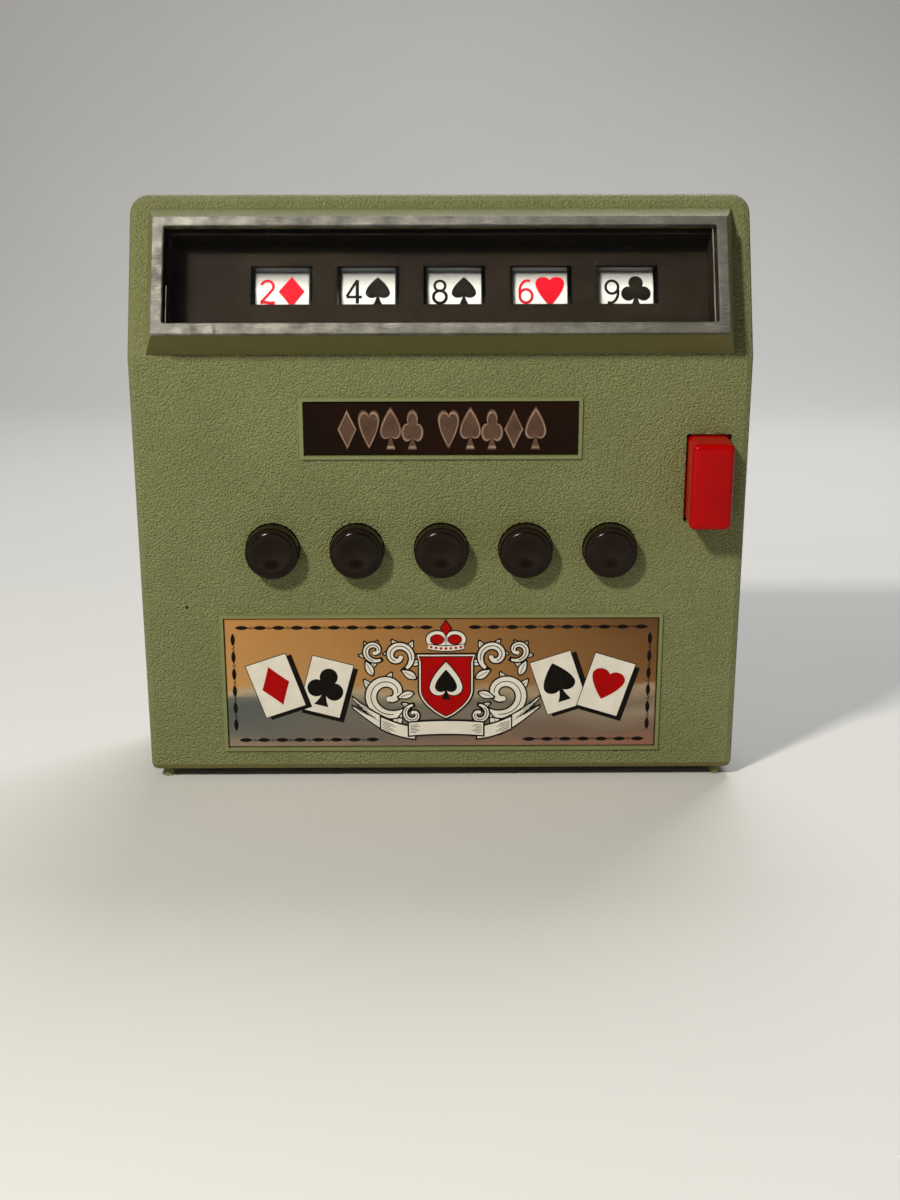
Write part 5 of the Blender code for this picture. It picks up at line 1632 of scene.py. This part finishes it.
@dataclass(frozen=True)
class PrintedCard:
    """A playing card printed on the emblem plate."""

    suit: Suit
    centre: Pair
    tilt: float
    level: int


class Ink(IntEnum):
    """The emblem's inks, in their order on the piece."""

    RED = 0
    BLACK = 1
    CREAM = 2


@dataclass
class EmblemPrint:
    """The print on the foil: a beaded border, four tilted cards, and a shield with its trimmings.

    Each shape is a thin layer of ink, and a level says how many layers lie below it.
    """

    card: Pair = (5.95 * MM, 8.3 * MM)
    outline: float = 0.22 * MM
    shadow: Pair = (1.35 * MM, -0.95 * MM)
    layer: float = 0.012 * MM
    border: Pair = (58.9 * MM, 16.9 * MM)
    bead: Pair = (3.8 * MM, 1.15 * MM)
    pitch: float = 5.2 * MM
    crest_x: float = 1.25 * MM
    end_gaps: Pair = (3.4 * MM, 19.0 * MM)
    lower_drop: float = 0.6 * MM
    end_beads: int = 6
    place: Place = field(default_factory=lambda: FACE.on("emblem_plate"))
    surface: Surface = field(default_factory=Surface)

    def build(self) -> None:
        """Builds every printed shape as thin layers of ink on the plate."""
        self.beads()
        for card in (
            PrintedCard(Suit.CLUB, (-32.9 * MM, -1.1 * MM), -15.0, 0),
            PrintedCard(Suit.DIAMOND, (-47.2 * MM, -0.7 * MM), 19.0, 3),
            PrintedCard(Suit.SPADE, (33.4 * MM, -0.1 * MM), 18.5, 0),
            PrintedCard(Suit.HEART, (46.9 * MM, -0.7 * MM), -17.5, 3),
        ):
            self.draw_card(card)
        self.mantling()
        self.ribbon()
        self.arms()
        self.crown()
        inks = [FINISHES.red_ink, FINISHES.black_ink, FINISHES.cream_ink]
        piece = self.surface.finished("emblem_print", [ink.material() for ink in inks])
        place_piece(piece, "case")

    def ink(self, left: np.ndarray, right: np.ndarray, level: float, finish: int) -> None:
        """Lays a band of ink, one layer thick, on so many layers below it."""
        self.surface.band(self.place, left, right, -self.layer, self.layer * (level + 1), finish)

    def line(self, path: np.ndarray, width: float | np.ndarray, level: float, finish: int) -> None:
        """Lays a line of ink along a path."""
        self.surface.stroke(self.place, path, width, -self.layer, self.layer * (level + 1), finish)

    def beads(self) -> None:
        """The border: lens-shaped beads joined by thin zigzags, with a gap in the middle of each side."""
        half_x, half_y = self.border
        for y, gap in zip((half_y, -half_y - self.lower_drop), self.end_gaps):
            for side in (-1.0, 1.0):
                count = int((half_x - side * self.crest_x - gap) / self.pitch + 0.4)
                for index in range(count):
                    x = side * (half_x - self.pitch * (index + 0.5))
                    self.bead_at(np.array([x, y]), 0.0, index > 0)
        for side in (-1.0, 1.0):
            for index in range(self.end_beads):
                y = half_y - 3.6 * MM - index * self.pitch
                self.bead_at(np.array([side * half_x, y]), 90.0, index < self.end_beads - 1)

    def bead_at(self, centre: np.ndarray, angle: float, linked: bool) -> None:
        """One bead whose half width falls as a cosine to its ends, and the zigzag to the next.

        Args:
            centre: The bead's middle.
            angle: The turn of its length, in degrees: 0 along the plate, 90 up it.
            linked: Whether the zigzag is drawn.
        """
        length, width = self.bead
        along = np.linspace(-0.5, 0.5, 9)
        swell = width / 2 * np.cos(along * np.pi) ** 0.8 + 0.05 * MM
        left = turned_by(np.column_stack([along * length, swell]), angle) + centre
        right = turned_by(np.column_stack([along * length, -swell]), angle) + centre
        self.ink(left, right, 1, Ink.BLACK)
        if linked:
            rest = self.pitch - length
            xs = length / 2 + rest * np.linspace(0.0, 1.0, 5)
            zigzag = np.column_stack([xs, 0.42 * MM * np.array([0.0, 1.0, -1.0, 1.0, 0.0])])
            outward = 180.0 if (angle == 0.0 and centre[0] < self.crest_x) else angle - 180.0 * (angle > 0)
            self.line(turned_by(zigzag, outward) + centre, 0.3 * MM, 0, Ink.BLACK)

    def draw_card(self, card: PrintedCard) -> None:
        """A cream card with a thin dark outline, a thick black shadow and its suit.

        Args:
            card: The card to draw.
        """
        half_x, half_y = self.card
        centre = np.array(card.centre)
        for grow, move, level, finish in (
            (self.outline, self.shadow, 0, Ink.BLACK),
            (self.outline, (0.0, 0.0), 1, Ink.BLACK),
            (0.0, (0.0, 0.0), 2, Ink.CREAM),
        ):
            sides = []
            for side in (-1.0, 1.0):
                x, y = side * (half_x + grow), half_y + grow
                sides.append(turned_by(np.array([(x, -y), (x, y)]) + move, card.tilt) + centre)
            self.ink(*sides, card.level + level, finish)
        pip = {
            Suit.DIAMOND: (5.1 * MM, 6.2 * MM), Suit.HEART: (5.4 * MM, 4.8 * MM),
            Suit.SPADE: (5.2 * MM, 5.7 * MM), Suit.CLUB: (5.7 * MM, 5.9 * MM),
        }[card.suit]
        finish = Ink.RED if card.suit.is_red else Ink.BLACK
        for layer, edges in enumerate(suit_bands(card.suit)):
            sides = [turned_by(edge * pip, card.tilt) + centre for edge in edges]
            self.ink(*sides, card.level + 3 + 0.3 * layer, finish)

    def edged(self, left: np.ndarray, right: np.ndarray, level: int, edge: float = 0.45 * MM) -> None:
        """A cream shape with a dark edge: the same band, grown outward, in black under it.

        Args:
            left: Its left edge.
            right: Its right edge.
            level: The level of the black.
            edge: How far the black shows.
        """
        across = left - right
        across /= np.maximum(np.linalg.norm(across, axis=1, keepdims=True), 1e-9)
        ahead = np.gradient((left + right) / 2, axis=0)
        ahead /= np.maximum(np.linalg.norm(ahead, axis=1, keepdims=True), 1e-9)
        stretch = np.zeros_like(left)
        stretch[0], stretch[-1] = -ahead[0] * edge, ahead[-1] * edge
        self.ink(left + across * edge + stretch, right - across * edge + stretch, level, Ink.BLACK)
        self.ink(left, right, level + 1, Ink.CREAM)

    def leaf(self, root: np.ndarray, angle: float, length: float, level: int, fat: float = 0.2) -> None:
        """A pointed leaf: its half width is a sine of its length, fuller toward the root.

        Args:
            root: Where it grows from.
            angle: Where it points, in degrees.
            length: Its length.
            level: Its lowest level.
            fat: Its half width as a share of its length.
        """
        along = np.linspace(0.0, 1.0, 11)
        swell = fat * length * np.sin(np.pi * along**0.8) + 0.01 * MM
        left = turned_by(np.column_stack([along * length, swell]), angle) + root
        right = turned_by(np.column_stack([along * length, -swell]), angle) + root
        self.edged(left, right, level, 0.4 * MM)
        vein = turned_by(np.column_stack([along[1:9] * length, 0.0 * along[1:9]]), angle) + root
        self.line(vein, 0.18 * MM, level + 2, Ink.BLACK)

    def scroll(
        self, side: float, centre: Pair, radius: float, start: float, sweep: float, level: int
    ) -> None:
        """A curling acanthus stem: a spiral whose radius shrinks as it turns, with leaves outside it.

        Args:
            side: 1 on the right of the medallion, -1 for its mirror image on the left.
            centre: The spiral's centre, right of the medallion's middle, in millimetres.
            radius: Its first radius, in millimetres.
            start: The angle it starts at, in degrees.
            sweep: How far it turns, in degrees.
            level: Its lowest level.
        """
        share = np.linspace(0.0, 1.0, 33)
        angle = np.radians(start + sweep * share)
        reach = radius * (1.0 - 0.8 * share**0.9)
        path = np.column_stack([centre[0] + reach * np.cos(angle), centre[1] + reach * np.sin(angle)]) * MM
        path = path * (side, 1.0) + (self.crest_x, 0.0)
        width = radius * MM * (0.1 + 0.26 * np.sin(np.pi * share**0.7) + 0.1 * share)
        for spot in (3, 8, 13, 18):
            aim = math.degrees(angle[spot]) + math.copysign(38.0, sweep)
            length = radius * MM * (0.78 - 0.02 * spot)
            self.leaf(path[spot], self.mirrored(aim, side), length, level, 0.24)
        self.line(path, width + 0.9 * MM, level + 3, Ink.BLACK)
        self.line(path[1:-1], width[1:-1], level + 4, Ink.CREAM)
        self.line(path[4:26], 0.26 * MM, level + 5, Ink.BLACK)
        for grow, finish, lift in ((0.55, Ink.BLACK, 3), (0.33, Ink.CREAM, 6)):
            size = (grow + 0.06 * radius) * MM
            self.oval(path[-1], (size, size), level + lift, finish)

    def mirrored(self, angle: float, side: float) -> float:
        """An angle in degrees on the right side, or its mirror image on the left."""
        return angle if side > 0 else 180.0 - angle

    def oval(self, centre: np.ndarray, radii: Pair, level: int, finish: int) -> None:
        """A filled oval, as a band between its left and its right side.

        Args:
            centre: Its middle.
            radii: Half its width and half its height.
            level: Its level.
            finish: Its ink.
        """
        swing = np.linspace(-np.pi / 2, np.pi / 2, 25)
        levels = centre[1] + radii[1] * np.sin(swing)
        width = radii[0] * np.cos(swing)
        left = np.column_stack([centre[0] - width, levels])
        right = np.column_stack([centre[0] + width, levels])
        self.ink(left, right, level, finish)

    def mantling(self) -> None:
        """Acanthus scrolls either side of the shield, largest below and smallest at the top."""
        for side in (-1.0, 1.0):
            self.scroll(side, (16.4, -3.4), 7.4, 205.0, 420.0, 1)
            self.scroll(side, (13.6, 8.3), 4.6, 250.0, -400.0, 8)
            self.scroll(side, (20.3, 9.9), 3.4, 225.0, 400.0, 8)
            self.scroll(side, (9.4, -9.6), 3.0, 100.0, -380.0, 15)
            for x, y, aim, length in (
                (8.6, 1.5, 32.0, 4.6), (9.4, -3.0, -18.0, 4.4), (20.9, 2.6, 66.0, 4.4),
            ):
                root = np.array([self.crest_x + side * x * MM, y * MM])
                self.leaf(root, self.mirrored(aim, side), length * MM, 15, 0.22)

    def shield(self, grow: float, level: int, finish: int) -> None:
        """A shield: level top with raised corners, straight sides and a curved point below.

        Args:
            grow: How far its edge lies outside the plain outline.
            level: Its lowest level.
            finish: Its ink.
        """
        share = np.linspace(0.0, 1.0, 33)
        levels = (-10.2 * MM - grow) + share * (18.4 * MM + 2 * grow)
        curve = np.clip(share / 0.45, 0.0, 1.0)
        corner = 6.0 * MM * np.clip(share - 0.9, 0.0, 1.0)
        width = (7.1 * MM + grow) * np.sin(curve * np.pi / 2) ** 0.8 + corner
        left = np.column_stack([self.crest_x - width, levels])
        right = np.column_stack([self.crest_x + width, levels])
        self.ink(left, right, level, finish)

    def arms(self) -> None:
        """A red shield with a cream line round it, and on it a dark spade with a cream edge."""
        for grow, level, finish in (
            (0.95, 22, Ink.BLACK), (0.5, 23, Ink.CREAM), (0.1, 24, Ink.BLACK), (-0.2, 25, Ink.RED),
        ):
            self.shield(grow * MM, level, finish)
        middle = np.array([self.crest_x, -0.6 * MM])
        for size, level, finish, bands in (
            (5.7, 26, Ink.BLACK, 2), (5.3, 27, Ink.CREAM, 2), (3.6, 29, Ink.BLACK, 3),
        ):
            scale = np.array([0.98, 1.2]) * size * MM
            for layer, (left, right) in enumerate(suit_bands(Suit.SPADE)[:bands]):
                self.ink(left * scale + middle, right * scale + middle, level + 0.3 * layer, finish)

    def crown(self) -> None:
        """A crown over the shield: a beaded band, two red lobes with cream rims and a red pip on top."""
        base, sag = 10.6 * MM, 0.025
        across = np.linspace(-5.0, 5.0, 9)
        path = np.column_stack([self.crest_x + across * MM, base + sag * across**2 * MM])
        for side in (-1.0, 1.0):
            for radii, level, finish in (
                ((3.3, 2.75), 22, Ink.BLACK), ((3.05, 2.5), 23, Ink.CREAM),
                ((2.05, 1.6), 24, Ink.BLACK), ((1.8, 1.35), 25, Ink.RED),
            ):
                centre = np.array([self.crest_x + side * 2.5 * MM, base + 2.7 * MM])
                self.oval(centre, (radii[0] * MM, radii[1] * MM), level, finish)
        self.line(path, 1.9 * MM, 26, Ink.BLACK)
        self.line(path, 1.4 * MM, 27, Ink.CREAM)
        for x in np.linspace(-4.2, 4.2, 7):
            spot = np.array([self.crest_x + x * MM, base + sag * x * x * MM])
            self.oval(spot, (0.4 * MM, 0.4 * MM), 28, Ink.RED)
        size = np.array([1.75, 2.1]) * MM
        top = np.array([self.crest_x, base + 6.1 * MM])
        for left, right in suit_bands(Suit.DIAMOND):
            self.ink(left * size * 1.25 + top, right * size * 1.25 + top, 28, Ink.BLACK)
            self.ink(left * size + top, right * size + top, 29, Ink.RED)

    def ribbon(self) -> None:
        """A plain ribbon in five folds: forked tails, side panels behind and a middle panel in front."""
        for side in (-1.0, 1.0):
            share = np.linspace(0.0, 1.0, 9)
            x = self.crest_x + side * (15.6 + 11.0 * share) * MM
            y = (-13.4 + 7.6 * share**1.25) * MM
            fork = 1.3 * MM * share**3
            low = np.column_stack([x, y - 2.2 * MM * (1.0 - 0.25 * share)])
            high = np.column_stack([x, y + 1.9 * MM * (1.0 - 0.25 * share)])
            middle = (low + high) / 2
            split = np.column_stack([0.0 * x, fork])
            self.edged(high, middle + split - (0.0, 0.01 * MM), 16)
            self.edged(middle - split, low, 16)
            self.creases(side, 19.5, 25.5, -10.2, -6.8, 18)
            x = self.crest_x + side * (9.0 + 9.6 * share) * MM
            y = (-15.4 + 3.0 * share**1.6) * MM
            self.edged(np.column_stack([x, y + 1.9 * MM]), np.column_stack([x, y - 1.7 * MM]), 19)
            self.creases(side, 14.0, 18.2, -14.4, -12.9, 21)
        share = np.linspace(-1.0, 1.0, 21)
        x = self.crest_x + 10.6 * MM * share
        y = (-13.7 - 0.5 * share**2) * MM
        self.edged(np.column_stack([x, y + 2.0 * MM]), np.column_stack([x, y - 1.9 * MM]), 30)
        for side in (-1.0, 1.0):
            self.creases(side, 7.2, 10.2, -13.9, -14.1, 32)

    def creases(self, side: float, start: float, end: float, low: float, high: float, level: int) -> None:
        """Short hatched lines, of different lengths, that shade a fold of the ribbon.

        Args:
            side: 1 on the right, -1 on the left.
            start: Where they start right of the middle, in millimetres.
            end: Where they end, in millimetres.
            low: The height of their inner ends, in millimetres.
            high: The height of their outer ends, in millimetres.
            level: The layer that they are printed on.
        """
        for index, offset in enumerate(np.linspace(-1.2, 1.2, 6)):
            length = (end - start) * (0.55 + 0.35 * ((index * 5) % 3) / 2)
            x = np.linspace(end - length, end, 5)
            y = np.interp(x, (start, end), (low, high)) + offset
            path = np.column_stack([self.crest_x + side * x * MM, y * MM])
            self.line(path, 0.16 * MM, level, Ink.BLACK)


@dataclass
class LensEdgeHighlights:
    """Painted highlights on the polished side edges of the window's lens: thin bright uprights of light grey."""

    margin: float = 0.75 * MM
    width: float = 0.22 * MM
    height: float = 0.08 * MM
    low_gap: float = 3.6 * MM
    high_gap: float = 3.1 * MM

    def build(self) -> None:
        """Builds a painted highlight upright beside each end of the lens, the left one only over its lower part.
        """
        bezel, lens = WINDOW.span("bezel_frame"), WINDOW.span("window_lens")
        inset = Bezel.border + self.margin
        low, high = bezel[0][1] + self.low_gap, bezel[1][1] - self.high_gap
        surface = Surface()
        level = lens[1][2] - 0.02 * MM
        for x, top, share in (
            (bezel[1][0] - inset, high, 1.0), (bezel[0][0] + inset, low + 0.4 * (high - low), 0.6),
        ):
            path = np.column_stack([np.full(12, x), np.linspace(low, top, 12)])
            width = self.width * share * (1.0 + 0.25 * np.sin(np.linspace(0.0, 9.0, 12)))
            surface.stroke(WINDOW.at(0.0, 0.0, level), path, width, -self.height / 2, self.height / 2)
        place_piece(surface.finished("lens_edge_highlights", [FINISHES.lens_edge_highlight.material()]), "case")


class CellPart(IntEnum):
    """The materials of a cell, in their order on the piece."""

    JACKET = 0
    METAL = 1


@dataclass
class DryCell:
    """A dry cell: a jacket with rolled ends, a steel plate at each end and a nub on one."""

    number: int
    nub_radius: float = 4.7 * MM
    nub: float = 1.5 * MM
    nub_bevel: float = 0.4 * MM
    sunk: float = 0.3 * MM
    roll: float = 0.8 * MM

    def build(self) -> None:
        """Turns the nub, the jacket and the far plate about the cell's axis."""
        node = f"battery_{self.number}"
        low, high = SIDE.span(node)
        place = SIDE.at(*((low + high) / 2)[:2])
        radius, shoulder, roll = (high[0] - low[0]) / 2, high[2] - self.nub, self.roll
        lip = radius - 2 * roll
        tip = [
            (0.0, high[2]), (self.nub_radius - self.nub_bevel, high[2]),
            (self.nub_radius, high[2] - self.nub_bevel), (self.nub_radius, shoulder - self.sunk),
            (lip, shoulder - self.sunk), (lip, shoulder),
        ]
        near = arc((radius - roll, shoulder - roll), (roll, roll), (90.0, 0.0), 6)
        far = arc((radius - roll, low[2] + roll), (roll, roll), (0.0, -90.0), 6)
        jacket = np.concatenate([tip[-1:], near, far, [(lip, low[2])]])
        plate = [(lip, low[2]), (lip, low[2] + self.sunk), (0.0, low[2] + self.sunk)]
        surface = Surface().turned(place, np.array(tip), CellPart.METAL)
        surface.turned(place, jacket, CellPart.JACKET).turned(place, np.array(plate), CellPart.METAL)
        metals = [FINISHES.cell.material(), FINISHES.steel.material()]
        place_piece(surface.finished(f"dry_cell_{self.number}", metals), "case", [node])


@dataclass
class FaceSpeck:
    """A dark speck of dirt stuck to the front face, left of the plates."""

    x: float = -71.35 * MM
    rise: float = 54.65 * MM
    radius: float = 0.42 * MM
    height: float = 0.12 * MM
    sunk: float = 0.2 * MM

    def build(self) -> None:
        """Builds a low dome on the face, sunk a little so that no gap shows."""
        level = FACE.span("emblem_plate")[1][2] - 0.1 * MM
        turn = np.linspace(0.0, np.pi / 2, 6)
        dome = np.column_stack([self.radius * np.sin(turn), self.height * np.cos(turn)])
        profile = np.concatenate([dome, [(self.radius, -self.sunk), (0.0, -self.sunk)]])
        surface = Surface().turned(FACE.at(self.x, self.rise, level), profile, steps=16)
        place_piece(surface.finished("face_speck", [FINISHES.black_ink.material()]), "case")


# ---------------------------------------------------------------- studio


@dataclass
class Studio:
    """The floor, lights and camera: a viewpoint a little over half a metre in front, looking down."""

    camera_at: tuple[float, float, float] = (-0.00171, -0.51830, 0.15071)
    pitch: float = 78.947
    yaw: float = -0.476
    roll: float = -0.118
    lens: float = 54.06
    sensor: float = 36.0
    room: float = 0.11
    bend: float = 0.6

    def build(self) -> None:
        """Sets up the camera, the floor and the lights."""
        self.camera()
        self.floor()
        self.lights()

    def camera(self) -> None:
        """Places the camera: rolled about its own axis, then pitched, then yawed."""
        data = bpy.data.cameras.new("camera")
        data.lens = self.lens
        data.sensor_fit = "VERTICAL"
        data.sensor_height = self.sensor
        data.clip_start = 0.01
        camera = bpy.data.objects.new("camera", data)
        turns = ((self.yaw, "Z"), (self.pitch, "X"), (self.roll, "Z"))
        matrix = Matrix.Identity(4)
        for degrees, axis in turns:
            matrix = matrix @ Matrix.Rotation(math.radians(degrees), 4, axis)
        camera.matrix_world = Matrix.Translation(self.camera_at) @ matrix
        bpy.context.scene.collection.objects.link(camera)
        bpy.context.scene.camera = camera

    def floor(self) -> None:
        """A pale floor that curves up into a backdrop: flat, then a quarter circle, then upright."""
        turn, flat = np.linspace(0.1, np.pi / 2, 12), np.linspace(-2.0, 1.2, 9)
        back = flat[-1] + self.bend
        depth = np.concatenate([flat, flat[-1] + self.bend * np.sin(turn), np.full(4, back)])
        height = np.concatenate([np.zeros(9), self.bend * (1.0 - np.cos(turn)), np.linspace(0.8, 2.6, 4)])
        across = np.linspace(-2.6, 2.6, 7)
        grid = np.stack(np.broadcast_arrays(across[:, None], depth, height), axis=-1)
        finish = Finish(
            "pale_floor", (0.68, 0.68, 0.67), (0.65, 0.65, 0.64), 0.7, relief=Effect.GRAIN,
            relief_scale=600.0, relief_depth=0.00002, drift_scale=3.0,
        )
        floor = Surface().grid(grid).finished("studio_floor", [finish.material()])
        if floor.data.polygons[0].normal.z < 0:
            floor.data.flip_normals()

    def lights(self) -> None:
        """A small warm key light above left, a weak wide fill, a light behind and a dim room."""
        for name, at, size, power, tint in (
            ("key_light", (-0.55, -0.95, 0.84), 0.12, 17.6, (1.0, 0.95, 0.84)),
            ("fill_light", (0.9, -1.3, 0.3), 0.9, 0.7, (0.98, 0.98, 1.0)),
            ("back_light", (0.3, 1.0, 1.3), 0.9, 16.0, (1.0, 1.0, 1.0)),
        ):
            data = bpy.data.lights.new(name, "AREA")
            data.size = size
            data.energy = power
            data.color = tint
            light = bpy.data.objects.new(name, data)
            light.location = at
            aim = Vector((0.0, 0.0, 0.08)) - Vector(at)
            light.rotation_euler = aim.to_track_quat("-Z", "Y").to_euler()
            bpy.context.scene.collection.objects.link(light)
        world = bpy.data.worlds.new("studio_room")
        world.use_nodes = True
        background = world.node_tree.nodes["Background"]
        background.inputs["Color"].default_value = (1.0, 0.99, 0.97, 1.0)
        background.inputs["Strength"].default_value = self.room
        bpy.context.scene.world = world


# ---------------------------------------------------------------- assembly


def main() -> None:
    """Builds the studio and each sub-assembly in order, and reports each piece."""
    logging.basicConfig(level=logging.INFO, format="%(message)s")
    bpy.context.scene.view_settings.view_transform = "Standard"
    Studio().build()
    dress_frame()
    Bezel().build()
    for number in range(1, 6):
        PrintedStrip(number).build()
        HoldButton(number).build()
    StartBar().build()
    Nameplate().build()
    EmblemPrint().build()
    FaceSpeck().build()
    LensEdgeHighlights().build()
    for number in (1, 2):
        DryCell(number).build()


if __name__ == "__main__":
    main()
